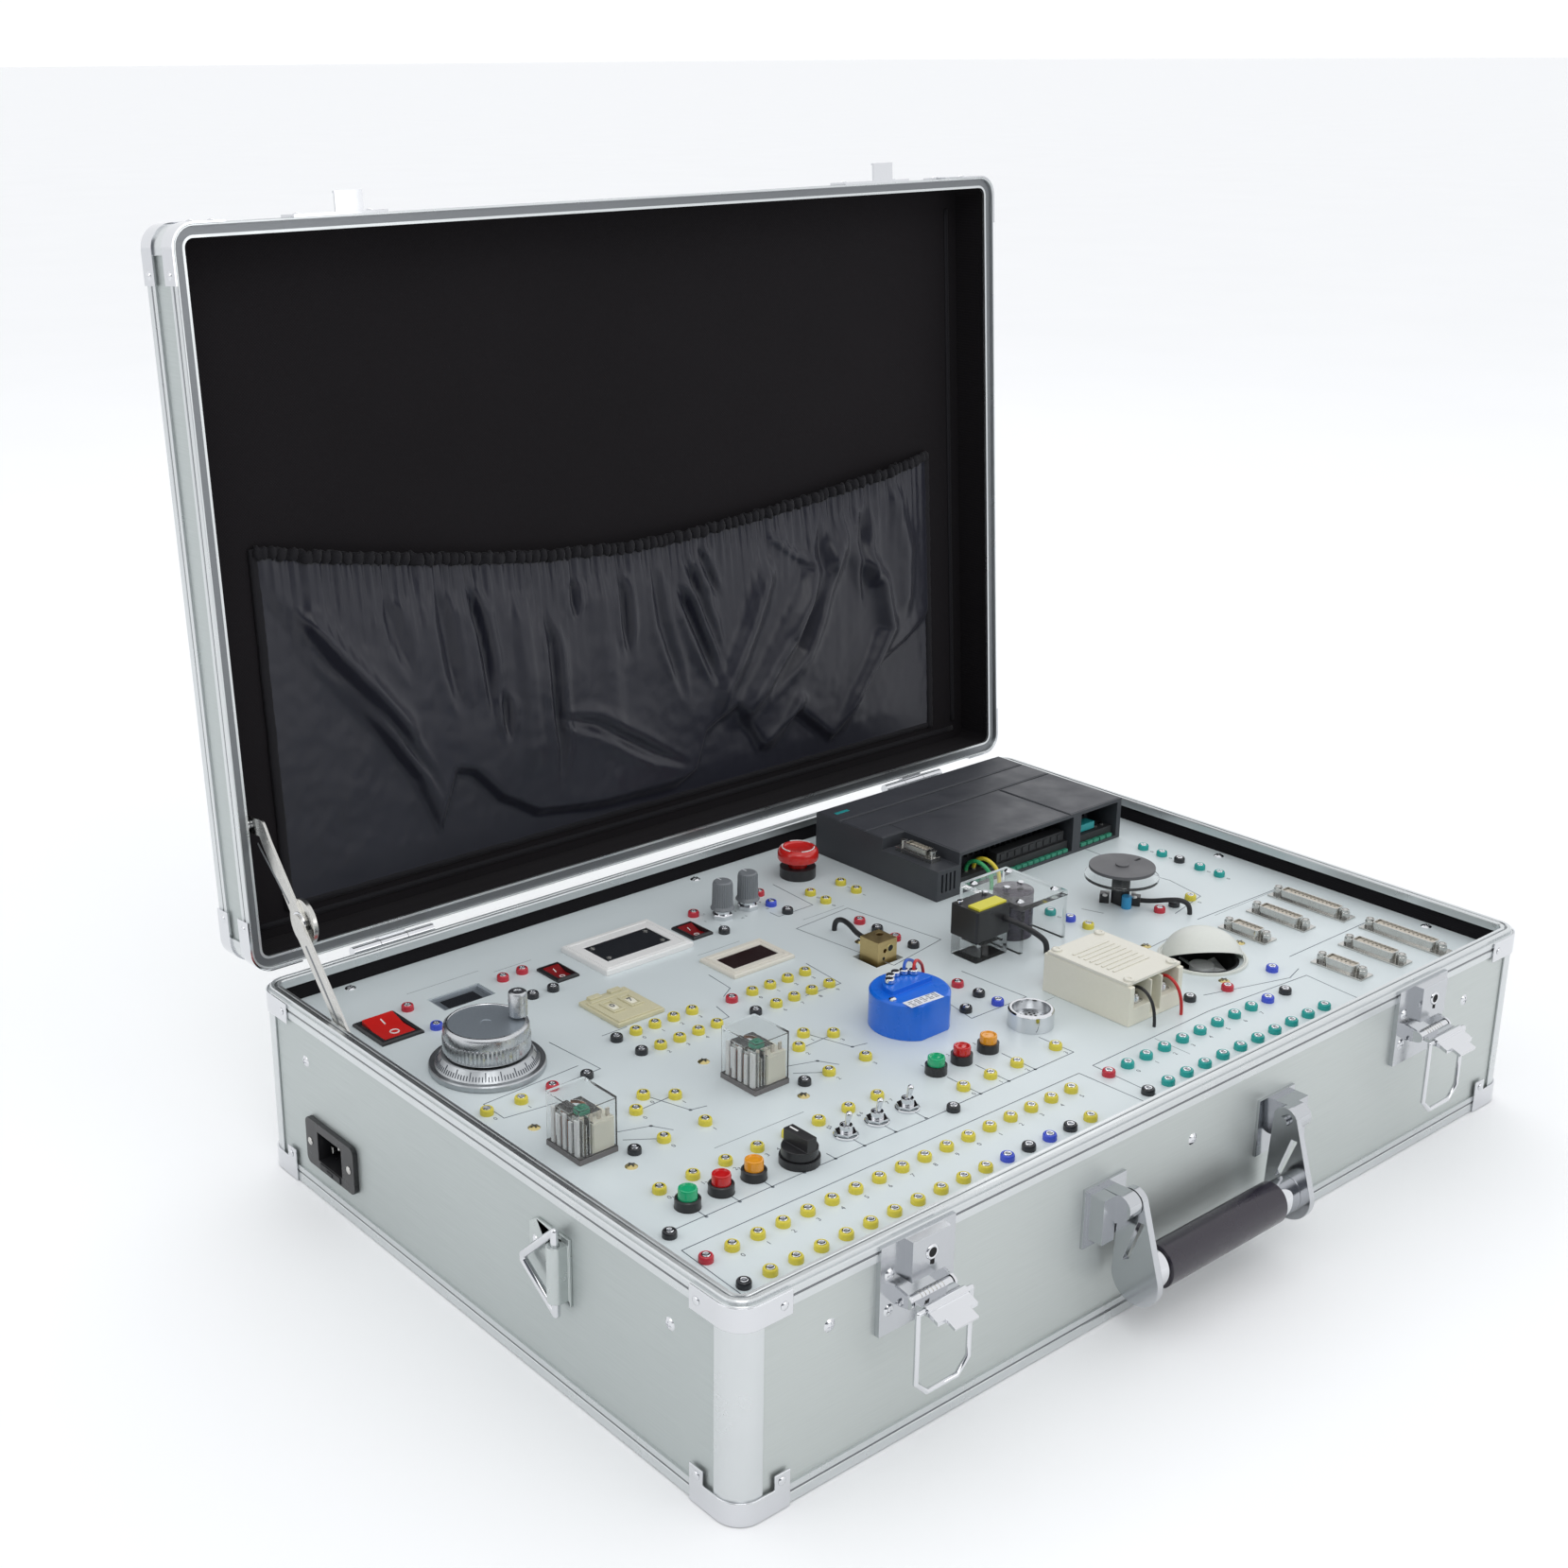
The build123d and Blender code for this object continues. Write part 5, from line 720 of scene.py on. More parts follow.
dress("base_hardware", hardware_finish, 0.4)
dress("base_hinge_leaves", "chrome", 0.3)
dress("base_lining", "felt", 0)
dress("lid_lining", "lining", 0)
dress("control_panel", "panel", 0)
dress("mains_inlet", lambda lo, hi: "nickel" if hi.y - lo.y < 6 else "black", 0.4)
dress("power_supply", lambda lo, hi: "zinc" if hi.x - lo.x > 150 and hi.z - lo.z > 20 else
      ("pcb_green" if hi.z - lo.z < 2 else "black"), 0)
BRASS = ((-262, -5), (-154, -5), (-248, -64), (-139, -65), (14, 52), (184, -91), (134, -117), (138, -59))


def screw_finish(lo, hi):
    x, y = (lo.x + hi.x) / 2, (lo.y + hi.y) / 2
    near = any(hypot(x - a, y - b) < 5 for a, b in BRASS) and lo.z > 60
    return "brass_screw" if near else "chrome"


dress("screws", screw_finish, 0)
# Dark crosses on the panel screws: painted shade in their slots
with piece("screw_slot_shade", "painted_recess_shade", sharp=60) as bm:
    for _, lo, hi in centres("screws"):
        if lo.z > 60 and abs(lo.x) < 285 and abs(lo.y) < 185:
            x, y, half = (lo.x + hi.x) / 2, (lo.y + hi.y) / 2, 0.29 * (hi.x - lo.x)
            box(bm, x - half, x + half, y - 0.4, y + 0.4, hi.z - 0.05, hi.z + 0.04)
            box(bm, x - 0.4, x + 0.4, y - half, y + half, hi.z - 0.05, hi.z + 0.05)
for lever in ("left_latch_lever", "right_latch_lever"):
    dress(lever, "chrome", 0.3)
for part in ("left_latch_bail", "right_latch_bail", "left_strap_ring", "right_strap_ring"):
    dress(part, "chrome", 0, 60)
dress("handle", lambda lo, hi: "grip" if hi.x - lo.x > 60 else
      ("chrome" if hi.x - lo.x > 10 else "satin"), 0.5)
dress("stay_lower_arm", "nickel", 0.2)
dress("stay_upper_arm", "nickel", 0.2)

for s in (-1, 1):
    x = s * 194.0 if s < 0 else 200.0
    # Dark disc and slot on the latch: painted shade of the keyhole
    with piece("latch_keyhole_shade_%d" % (s > 0), "hole_shade") as bm:
        lathe(bm, [(2.3, 0.0), (2.3, 0.12), (0, 0.12)], (x, -206.8, 97.5), "-Y", 20)
        box(bm, x - 0.9, x + 0.9, -206.95, -206.7, 91.5, 97.0)
    with piece("latch_key_ring_%d" % (s > 0), "chrome", sharp=50) as bm:
        lathe(bm, [(2.4, 0.0), (2.4, 0.5), (3.0, 0.7), (3.6, 0.5), (3.8, 0.0)], (x, -206.8, 97.5), "-Y", 28)
    with piece("latch_spring_%d" % (s > 0), "nickel", sharp=80) as bm:
        turns, steps, half = 7, 12, 8.0
        line = []
        for i in range(turns * steps + 1):
            a = 2 * pi * i / steps
            line.append((s * 197.0 - half + 2 * half * i / (turns * steps), -209.2 + 2.4 * cos(a),
                         80.0 + 2.4 * sin(a)))
        tube(bm, line, 0.45, 6)


# Cloth pocket in the lid: one sheet, gathered along its top and caught down at its sides and bottom

POCKET = 260.0
ROOF = 137.6
FLOOR = 178.0


def hem_y(x):
    return 9.5 - (34.0 if x < 0 else 23.5) * (abs(x) / POCKET) ** 1.6


BELLY = [(-268, -12), (-254, 4), (-238, 26), (-204, 72), (-174, 121), (-158, 158), (-144, 124), (-134, 127),
         (-116, 147), (-89, 163), (-36, 171), (22, 173), (40, 162), (49, 139), (72, 128), (96, 162),
         (126, 142), (160, 170), (195, 128), (235, 110), (268, 92), (268, -40), (0, -40), (-268, -60)]
VALLEYS = [([(-254, -5), (-224, 40), (-192, 79), (-164, 119), (-151, 147)], 2.6, 4.5),
           ([(-130, 7), (-123, 36), (-120, 59), (-119, 100)], 3.4, 5.0),
           ([(-110, 78), (-109, 113)], 2.4, 4.0),
           ([(-78, 29), (-73, 59), (-73, 85), (-70, 124), (-73, 157)], 3.0, 5.0),
           ([(-53, 19), (-54, 48)], 2.2, 4.0),
           ([(-17, 19), (-16, 49), (-15, 82)], 2.8, 4.5),
           ([(25, 34), (40, 67), (57, 111)], 3.4, 6.0),
           ([(32, 15), (48, 60), (62, 99)], 2.6, 4.5),
           ([(45, 14), (62, 56)], 2.2, 4.0),
           ([(-150, 6), (-143, 72), (-138, 95)], 2.4, 7.0),
           ([(-77, 102), (-42, 115), (4, 144), (38, 160)], 2.0, 6.0),
           ([(150, 8), (150, 48), (128, 96), (88, 132)], 3.8, 8.0),
           ([(192, 5), (188, 40), (190, 80)], 3.0, 6.0),
           ([(-186, 8), (-178, 40), (-172, 66)], 1.8, 7.0),
           ([(8, 12), (12, 60), (30, 118)], 1.8, 5.0)]
RIDGES = [([(106, 30), (84, 75), (61, 112), (58, 136)], 4.2, 10.0),
          ([(175, 11), (165, 35), (125, 73), (90, 117), (64, 144)], 5.0, 12.0),
          ([(178, 33), (204, 63), (210, 97), (188, 130), (160, 171)], 5.0, 9.0),
          ([(131, 125), (113, 151), (96, 163)], 2.6, 7.0),
          ([(103, 16), (123, 31), (148, 45)], 1.6, 4.0),
          ([(219, -3), (232, 45), (226, 96)], 3.4, 10.0),
          ([(-240, 8), (-205, 52), (-170, 100)], 3.6, 9.0),
          ([(-95, 20), (-92, 80), (-92, 140)], 2.4, 11.0),
          ([(-35, 20), (-30, 80), (-28, 140)], 2.0, 12.0)]


def along(points, x, y):
    """Distance from a polyline, and how far along it the nearest point is, from 0 to 1."""
    best, where, done = 1e9, 0.0, 0.0
    total = sum(hypot(b[0] - a[0], b[1] - a[1]) for a, b in zip(points[:-1], points[1:]))
    for (x0, y0), (x1, y1) in zip(points[:-1], points[1:]):
        dx, dy = x1 - x0, y1 - y0
        n = dx * dx + dy * dy
        t = min(1.0, max(0.0, ((x - x0) * dx + (y - y0) * dy) / n))
        away = hypot(x - x0 - t * dx, y - y0 - t * dy)
        if away < best:
            best, where = away, (done + t * sqrt(n)) / total
        done += sqrt(n)
    return best, where


def inside(points, x, y):
    odd = False
    for (x0, y0), (x1, y1) in zip(points, points[1:] + points[:1]):
        if (y0 > y) != (y1 > y) and x < (x1 - x0) * (y - y0) / (y1 - y0) + x0:
            odd = not odd
    return odd


def pocket_depth(x, y, v):
    away, _ = along(BELLY + BELLY[:1], x, y)
    side = away if inside(BELLY, x, y) else -away
    full = smooth(-2.5, 6.0, side)
    ends = min(1.0, max(0.0, (POCKET - abs(x)) / 40.0)) ** 0.6
    d = 1.0 + ends * (1.6 + 7.0 * full * (0.55 + 0.45 * sin(pi * min(1.0, v * 1.05))))
    d += ends * full * 3.4 * (0.5 + 0.5 * noise.noise(Vector((x * 0.018, y * 0.012, 3.1))))
    for points, height, width in VALLEYS:
        away, where = along(points, x, y)
        if away < 4 * width:
            fade = smooth(0.0, 0.28, where) * smooth(1.0, 0.55, where)
            w = 0.72 * width * (0.55 + 0.5 * fade)
            d += 1.5 * ends * fade * height * (0.6 * exp(-((away - 1.6 * w) / w) ** 2) - exp(-(away / w) ** 2))
    for points, height, width in RIDGES:
        away, where = along(points, x, y)
        if away < 4 * width:
            d += 1.5 * ends * smooth(0.0, 0.15, where) * smooth(1.0, 0.8, where) * height \
                * exp(-(away / (0.75 * width)) ** 2)
    pull = noise.noise(Vector((x * 0.035, 0.4, 1.7)))
    d += ends * 1.5 * exp(-v * 8.0) * sin(2 * pi * (x / 6.3 + 0.9 * pull))
    d += ends * 2.6 * exp(-v * 3.0) * noise.noise(Vector((x * 0.085, y * 0.010, 8.0)))
    d += 0.7 * ends * noise.noise(Vector((x * 0.05, y * 0.045, 5.0)))
    d += 0.3 * noise.noise(Vector((x * 0.16, y * 0.13, 9.0)))
    if v > 0.9:
        d = 1.0 + (d - 1.0) * smooth(1.0, 0.9, v)
    return max(0.8, d)


with piece("lid_pocket_cloth", "nylon", "lid", sharp=180, stands_for=("lid_pocket",), matrix=LID) as bm:
    across, down = 300, 104
    rows = []
    for j in range(down + 1):
        v = j / down
        row = []
        for i in range(across + 1):
            x = -POCKET + 2 * POCKET * i / across
            y = hem_y(x) + (FLOOR - hem_y(x)) * v
            row.append(bm.verts.new((x, y, ROOF - pocket_depth(x, y, v))))
        rows.append(row)
    for a, b in zip(rows[:-1], rows[1:]):
        for i in range(across):
            bm.faces.new((a[i], a[i + 1], b[i + 1], b[i]))
pocket = bpy.data.objects["lid_pocket_cloth"]
with piece("lid_pocket_hem", "binding", "lid", sharp=180, matrix=LID) as bm:
    line = []
    for i in range(701):
        x = -POCKET + 2 * POCKET * i / 700
        wob = noise.noise(Vector((x * 0.11, 0, 2)))
        line.append((x, hem_y(x) - 1.5 + 0.7 * wob, ROOF - pocket_depth(x, hem_y(x), 0.0) - 0.4))

    def ruched(i, ang):
        x = i * 0.743
        lump = noise.noise(Vector((x * 0.30, 0.3 * cos(ang), 5))) + 0.5 * noise.noise(Vector((x * 0.9, ang, 2)))
        return 0.95 + 0.34 * lump + 0.10 * sin(2 * pi * x / 4.1 + 4.0 * noise.noise(Vector((x * 0.05, 0, 5))) + ang)
    tube(bm, line, 2.9, 12, (1.3, 0.6), ruched)
hem = bpy.data.objects["lid_pocket_hem"]
with piece("lid_pocket_binding", "binding", "lid", sharp=180, matrix=LID) as bm:
    for s in (-1, 1):
        line = []
        for i in range(91):
            y = hem_y(s * POCKET) - 3 + (FLOOR + 5 - hem_y(s * POCKET)) * i / 90
            line.append((s * (POCKET + 0.4 * noise.noise(Vector((y * 0.06, s, 0)))), y, ROOF - 0.9))
        tube(bm, line, 2.6, 10, (1.15, 0.55),
             lambda i, ang: 1.0 + 0.05 * sin(i * 1.9 + ang))
    line = [(-POCKET + 2 * POCKET * i / 160, FLOOR + 0.5 * noise.noise(Vector((i * 0.2, 0, 7))), ROOF - 0.5)
            for i in range(161)]
    tube(bm, line, 2.0, 8, (1.1, 0.6))
binding = bpy.data.objects["lid_pocket_binding"]
for soft in (pocket, hem, binding):
    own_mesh(soft)
with piece("lid_lining_seams", "binding", "lid", sharp=120, matrix=LID) as bm:
    for s in (-1, 1):
        tube(bm, [(s * 284, -180 + 360 * i / 60, ROOF - 0.3) for i in range(61)], 1.6, 8, (1.2, 0.5))
    tube(bm, [(-284 + 568 * i / 60, 186, ROOF - 0.3) for i in range(61)], 1.6, 8, (1.2, 0.5))


# Jacks: a coloured ring on a turned sleeve, one mesh for each colour

RED_JACKS = ((-240, 145), (-178, 143), (-164, 144), (-37, 144), (-232, 21), (-96, 40), (15, 143), (33, 72),
             (32, 41), (14, -26), (-272, -147), (185, -32), (126, -125), (-4, -148))
BLUE_JACKS = ((-240, 116), (10, 126), (14, -56), (-107, -172), (-77, -172), (133, -6), (166, -126),
              (131, -148))


def near_any(x, y, places):
    return any(hypot(x - a, y - b) < 4.0 for a, b in places)


jacks = {}
labels = []
for node, plain in (("yellow_jacks", "yellow"), ("supply_jacks", "jack_black"),
                    ("signal_jacks", "jack_green")):
    for c, lo, hi in centres(node):
        name = "jack_red" if near_any(c.x, c.y, RED_JACKS) else (
            "jack_blue" if near_any(c.x, c.y, BLUE_JACKS) else plain)
        jacks.setdefault((node, name), []).append((c.x, c.y))
sleeves = bmesh.new()
holes = bmesh.new()
RING = [(2.5, -0.3), (3.5, 0.0), (3.5, 1.9), (3.42, 2.6), (3.1, 3.2), (2.75, 3.42), (2.35, 3.35), (2.2, 2.9)]
SLEEVE = [(2.25, 2.6), (2.2, 3.1), (1.95, 3.5), (1.6, 3.6), (1.25, 3.45), (1.05, 3.0), (1.0, 1.2), (1.0, -6)]
SHANK = [(0, -11.0), (2.7, -11.0), (2.7, -0.05)]
NUT = [(2.7, -5.2), (4.3, -5.2), (4.3, -3.0), (2.7, -3.0)]
for (node, name), places in jacks.items():
    with piece("%s_%s" % (node, name), name, sharp=40, stands_for=(node,)) as bm:
        for x, y in places:
            lathe(bm, RING, (x, y, TOP), seg=22)
    for x, y in places:
        lathe(sleeves, SLEEVE, (x, y, TOP), seg=16)
        lathe(sleeves, SHANK, (x, y, TOP), seg=10)
        lathe(sleeves, NUT, (x, y, TOP), seg=6)
        lathe(holes, [(1.0, 1.0), (0, 1.0)], (x, y, TOP), seg=10)
finish_mesh("jack_sleeves", sleeves, "chrome", "case_base", 40)
# Dark discs down in the jack sleeves: painted shade of the bores
finish_mesh("jack_bore_shade", holes, "hole_shade", "case_base", 40)


# Printed lines and plain numbers on the panel

with piece("panel_print_lines", "ink_line", sharp=180) as bm:
    bus = [(-266, -119), (-146, -120), (-110, -121), (-92, -121)]
    stroke(bm, bus)
    for x in (-249, -229, -209, -189, -169, -150, -129, -108):
        disc(bm, x, -120, 0.9)
        stroke(bm, [(x, -120), (x, -113.5)])
    stroke(bm, [(-88, -120), (2, -120), (1, -97)])
    for x in (-69, -48, -28):
        disc(bm, x, -120, 0.9)
        stroke(bm, [(x, -120), (x, -97)])
    stroke(bm, [(-275, -134), (-14, -137), (-12, -181), (-277, -181), (-275, -134)])
    stroke(bm, [(-2, -136), (96, -135), (176, -142), (174, -160), (172, -182), (-2, -182), (-2, -136)])
    stroke(bm, [(47, -137), (47, -160)], 0.3)
    stroke(bm, [(-2, 90), (43, 93), (53, 24), (6, 16), (-2, 90)])
    stroke(bm, [(30, -14), (33, -60), (-10, -59), (-2, -18)])
    stroke(bm, [(33, 150), (30, 110), (2, 110), (2, 118)])
    stroke(bm, [(-203, 64), (-200, 23), (-226, 22)])
    stroke(bm, [(-207, 33), (-268, 30), (-268, 12), (-238, 8)])
    for dx, dy in ((0, 0), (109, -2)):
        stroke(bm, [(-200 + dx, -15 + dy), (-192 + dx, -40 + dy), (-183 + dx, -42 + dy)])
        disc(bm, -192 + dx, -40 + dy, 1.0)
        stroke(bm, [(-187 + dx, -23 + dy), (-212 + dx, -24 + dy), (-210 + dx, -21 + dy)])
        stroke(bm, [(-234 + dx, -34 + dy), (-217 + dx, -40 + dy), (-211 + dx, -50 + dy)])
        disc(bm, -217 + dx, -40 + dy, 1.0)
        stroke(bm, [(-236 + dx, -42 + dy), (-222 + dx, -52 + dy), (-222 + dx, -58 + dy)])
    stroke(bm, [(-84, 74), (-86, 53), (-96, 47)])
    stroke(bm, [(-31, 50), (-34, 18), (-60, 19)])
    stroke(bm, [(-177, 52), (-160, 52)])
    stroke(bm, [(-107, 40), (-110, 26), (-122, 26)])
    stroke(bm, [(177, 68), (231, 67), (230, 38)])
    stroke(bm, [(152, 1), (157, -12)])
    stroke(bm, [(224, 29), (230, -5), (224, -33), (190, -40)])
    stroke(bm, [(193, -54), (272, -56)])
    stroke(bm, [(190, -121), (272, -121)])
    stroke(bm, [(120, -63), (162, -60)])
    stroke(bm, [(110, -121), (166, -138), (180, -134)])
    stroke(bm, [(-207, -76), (-150, -77)], 0.3)
    for x0, x1, y in ((-230, -182, 162), (-176, -150, 155), (-120, -80, 158), (-72, -40, 98), (10, 44, 97),
                      (20, 45, -70), (206, 268, -57)):
        stroke(bm, [(x0, y), (x1, y)], 0.25)
marks = []
ordered = {}
for (node, name), places in jacks.items():
    if name in ("yellow", "jack_green"):
        for x, y in places:
            ordered.setdefault((name, round(y / 7.5)), []).append((x, y))
for (name, _), row in sorted(ordered.items()):
    for i, (x, y) in enumerate(sorted(row)):
        marks.append(("%d" % (i % 10), x + 0.5, y - 6.8, TOP, 3.8, 0))
for i, (x, y) in enumerate(((-250, -98), (-230, -98), (-210, -98), (-184, -96), (-150, -96), (-129, -96),
                            (-108, -96))):
    marks.append(("%d" % (i + 1), x, y, TOP, 3.2, 0))
for i, x in enumerate((-70, -51, -31)):
    marks.append(("%d" % (i + 1), x, -80.5, TOP, 3.2, 0))
for x, y in ((-25, 131), (-4, 132)):
    for i in range(6):
        a = radians(225 - 54 * i)
        marks.append(("%d" % (2 * i), x + 12.2 * cos(a), y + 12.2 * sin(a), TOP, 2.2, 0))
print_numbers = bmesh.new()
numerals(print_numbers, marks)
finish_mesh("panel_print_numbers", print_numbers, "ink", "case_base", 30, smooth=False)


# Switches, meters, knobs and lamps

dress("control_bushings", lambda lo, hi: "black" if lo.x > 40 else
      ("chrome" if hi.z < 101.5 or lo.z > 90 else "nickel"), 0.25)
dress("control_collars", lambda lo, hi: None if hi.x - lo.x > 31 else "black", 0.25)
dress("panel_meters", lambda lo, hi: "black" if hi.z < 93 else ("white" if hi.x - lo.x > 60 else "ivory"),
      0.3)
dress("power_rocker", "red", 0.4)
dress("dc_rocker", "dark_red", 0.3)
dress("adjust_rocker", "dark_red", 0.3)
for node, x, y, size in (("power_rocker", -261, 130.5, 1.0), ("dc_rocker", -149, 129.6, 0.62),
                         ("adjust_rocker", -53, 125.6, 0.62)):
    top = top_of(node)
    with piece(node + "_marks", "white", node, sharp=60) as bm:
        ring = []
        for i in range(28):
            a = 2 * pi * i / 28
            px, py = x + 2.4 * size * cos(a), y - 6.0 * size + 2.4 * size * sin(a)
            ring.append((px, py, top(px, py) + 0.02))
        tube(bm, ring, 0.34 * size + 0.08, 6, closed=True)
        tube(bm, [(x, y + d * size, top(x, y + d * size) + 0.02) for d in (3.4, 5.0, 6.6, 8.0)],
             0.36 * size + 0.08, 6)

with piece("ac_meter_frame", "glass_frame", sharp=30, bevel=0.2) as bm:
    for x0, x1, y0, y1 in ((-225, -191, 131, 132.6), (-225, -191, 147.4, 149), (-225, -223.4, 132.6, 147.4),
                           (-192.6, -191, 132.6, 147.4)):
        box(bm, x0, x1, y0, y1, 92.0, 94.3)
with piece("ac_meter_glass", "glass_grey", sharp=30, bevel=0.3) as bm:
    box(bm, -223.4, -192.6, 132.6, 147.4, 92.0, 92.7)
with piece("ac_meter_display", "glass_dark", sharp=30, bevel=0.3) as bm:
    box(bm, -219, -197, 135.2, 145.4, 92.6, 93.1)
with piece("dc_meter_glass", "glass_dark", sharp=30, bevel=0.3) as bm:
    box(bm, -121.4, -74.6, 119.1, 142.9, 97.0, 98.1)
with piece("dc_meter_trimmers", "nickel", sharp=40) as bm:
    for x, y in ((-117.6, 139), (-78.4, 139), (-78.4, 123), (-117.6, 123)):
        lathe(bm, [(1.6, 98.0), (1.6, 98.4), (1.2, 98.6), (0, 98.6)], (x, y, 0), seg=16)
        box(bm, x - 1.2, x + 1.2, y - 0.25, y + 0.25, 98.5, 98.75)
with piece("digital_meter_glass", "glass_brown", sharp=30, bevel=0.3) as bm:
    box(bm, -70.9, -37.1, 67.1, 82.9, 96.4, 97.1)
with piece("digital_meter_step", "ivory", sharp=30, bevel=0.25) as bm:
    for x0, x1, y0, y1 in ((-74.6, -33.4, 62.2, 63.8), (-74.6, -33.4, 86.2, 87.8), (-74.6, -73.0, 63.8, 86.2),
                           (-35.0, -33.4, 63.8, 86.2)):
        box(bm, x0, x1, y0, y1, 97.3, 97.9)
with piece("dc_meter_step", "white", sharp=30, bevel=0.25) as bm:
    for x0, x1, y0, y1 in ((-128, -68, 111.2, 113), (-128, -68, 149, 150.8), (-128, -126.2, 113, 149),
                           (-69.8, -68, 113, 149)):
        box(bm, x0, x1, y0, y1, 98.2, 98.9)

with piece("thumbwheel_housing", "beige", sharp=30, bevel=0.5, segments=3,
           stands_for=("control_collars",)) as bm:
    box(bm, -165, -133, 53, 89, 95, 97.4)
    box(bm, -163.4, -134.6, 54.6, 84.6, 97.2, 98.2)
    box(bm, -160, -152, 84.4, 88.6, 97.2, 99.2)
    box(bm, -146, -138, 84.4, 88.6, 97.2, 99.2)
    box(bm, -162, -136, 80.6, 83.0, 98.0, 98.9)
    box(bm, -162.5, -135.5, 56, 86, 75, 95)
    for x in (-155.2, -142.8):
        for x0, x1, y0, y1 in ((x - 4.2, x - 2.6, 64, 78), (x + 2.6, x + 4.2, 64, 78), (x - 2.6, x + 2.6, 64, 65.6),
                               (x - 2.6, x + 2.6, 76.4, 78)):
            box(bm, x0, x1, y0, y1, 98.0, 99.2)
with piece("thumbwheel_digit_wheels", "cream", sharp=60) as bm:
    for x in (-155.2, -142.8):
        lathe(bm, [(0, -2.5), (8.2, -2.5), (8.4, -2.3), (8.4, 2.3), (8.2, 2.5), (0, 2.5)], (x, 71, 90.5), "X", 40)
digits = bmesh.new()
numerals(digits, [("0", -155.2, 71.2, 98.75, 5.6, 0), ("7", -142.8, 71.2, 98.75, 5.6, 0)], 0.3)
finish_mesh("thumbwheel_numbers", digits, "stencil", "case_base", 30, smooth=False)

WX, WY = -243.0, 63.0
with piece("handwheel_flange", "flange", sharp=26, stands_for=("handwheel_base",)) as bm:
    lathe(bm, [(0, 65), (9.5, 65), (9.5, 95), (30.1, 95), (30.6, 95.5), (30.6, 98.0), (30.1, 98.7), (27.9, 98.9),
               (27.6, 98.6), (27.3, 98.9), (23.9, 104.0), (23.3, 104.3), (0, 104.3)], (WX, WY, 0), seg=96)
with piece("handwheel_scale", "ink", sharp=30) as bm:
    for i in range(100):
        a = 2 * pi * i / 100
        r0, z0 = (26.9, 99.55)
        r1, z1 = (24.3, 103.45) if i % 5 == 0 else (25.5, 101.65)
        half = 0.26
        corners = []
        for r, z in ((r0, z0), (r1, z1)):
            for side in (-half, half):
                corners.append(Vector((WX + r * cos(a) - side * sin(a), WY + r * sin(a) + side * cos(a), z)))
        out = Vector((cos(a) * 0.83, sin(a) * 0.83, 0.56)) * 0.12
        low = [bm.verts.new(c - out) for c in corners]
        high = [bm.verts.new(c + out) for c in corners]
        for quad in ((high[0], high[1], high[3], high[2]), (low[2], low[3], low[1], low[0]),
                     (low[0], low[1], high[1], high[0]), (low[2], high[2], high[3], low[3]),
                     (low[1], low[3], high[3], high[1]), (low[0], high[0], high[2], low[2])):
            bm.faces.new(quad)
with piece("handwheel_rim", "turned", "handwheel", sharp=26, stands_for=("handwheel",)) as bm:
    lathe(bm, [(0, 105.0), (21.4, 105.0), (22.2, 105.3), (22.4, 106.0), (23.0, 106.6), (23.0, 113.4),
               (22.4, 114.0)], (WX, WY, 0), seg=128, teeth=(4, 5, 0.75))
    lathe(bm, [(22.4, 114.0), (22.5, 118.4), (22.1, 119.5), (21.0, 120.4), (20.2, 120.5), (19.9, 120.1),
               (19.9, 119.0)], (WX, WY, 0), seg=96)
with piece("handwheel_face", "wheel_top", "handwheel", sharp=26) as bm:
    lathe(bm, [(20.0, 119.6), (19.7, 119.95), (3.0, 119.95), (2.7, 119.7), (0, 119.7)], (WX, WY, 0), seg=72)
with piece("crank_knob_turned", "turned", "crank_knob", sharp=26, stands_for=("crank_knob",)) as bm:
    lathe(bm, [(0, 120.9), (3.8, 120.9), (4.6, 121.2), (5.0, 121.8), (5.0, 133.6), (4.7, 134.5), (4.0, 135.0),
               (2.0, 135.0), (1.8, 134.6), (0, 134.6)], (-227, 57, 0), seg=48)

for side, x, y in (("left", -25.0, 131.0), ("right", -4.0, 132.0)):
    body = "pot_" + side
    with piece(side + "_pot_ribbed_knob", "grey_knob", body, sharp=24, stands_for=(side + "_pot_knob",)) as bm:
        lathe(bm, [(3.2, 101.2), (7.3, 101.2), (7.4, 101.8), (6.9, 102.6), (6.6, 103.4), (6.5, 104.0), (6.2, 117.0),
                   (5.7, 118.4), (4.9, 119.0), (0, 119.2)], (x, y, 0), seg=56, teeth=(4, 6, 0.42))
    with piece(side + "_pot_nut", "chrome", sharp=26) as bm:
        lathe(bm, [(4.2, 95.0), (6.6, 95.0), (6.6, 97.6), (6.1, 98.1), (4.2, 98.1)], (x, y, 0), seg=6)
        lathe(bm, [(3.2, 98.0), (4.6, 98.0), (4.6, 100.6), (4.2, 101.0), (3.2, 101.0)], (x, y, 0), seg=32)
    with piece(side + "_pot_pointer", "label", body, sharp=30, bevel=0.1) as bm:
        box(bm, x - 0.35, x + 0.35, y + 1.4, y + 5.0, 119.0, 119.25)

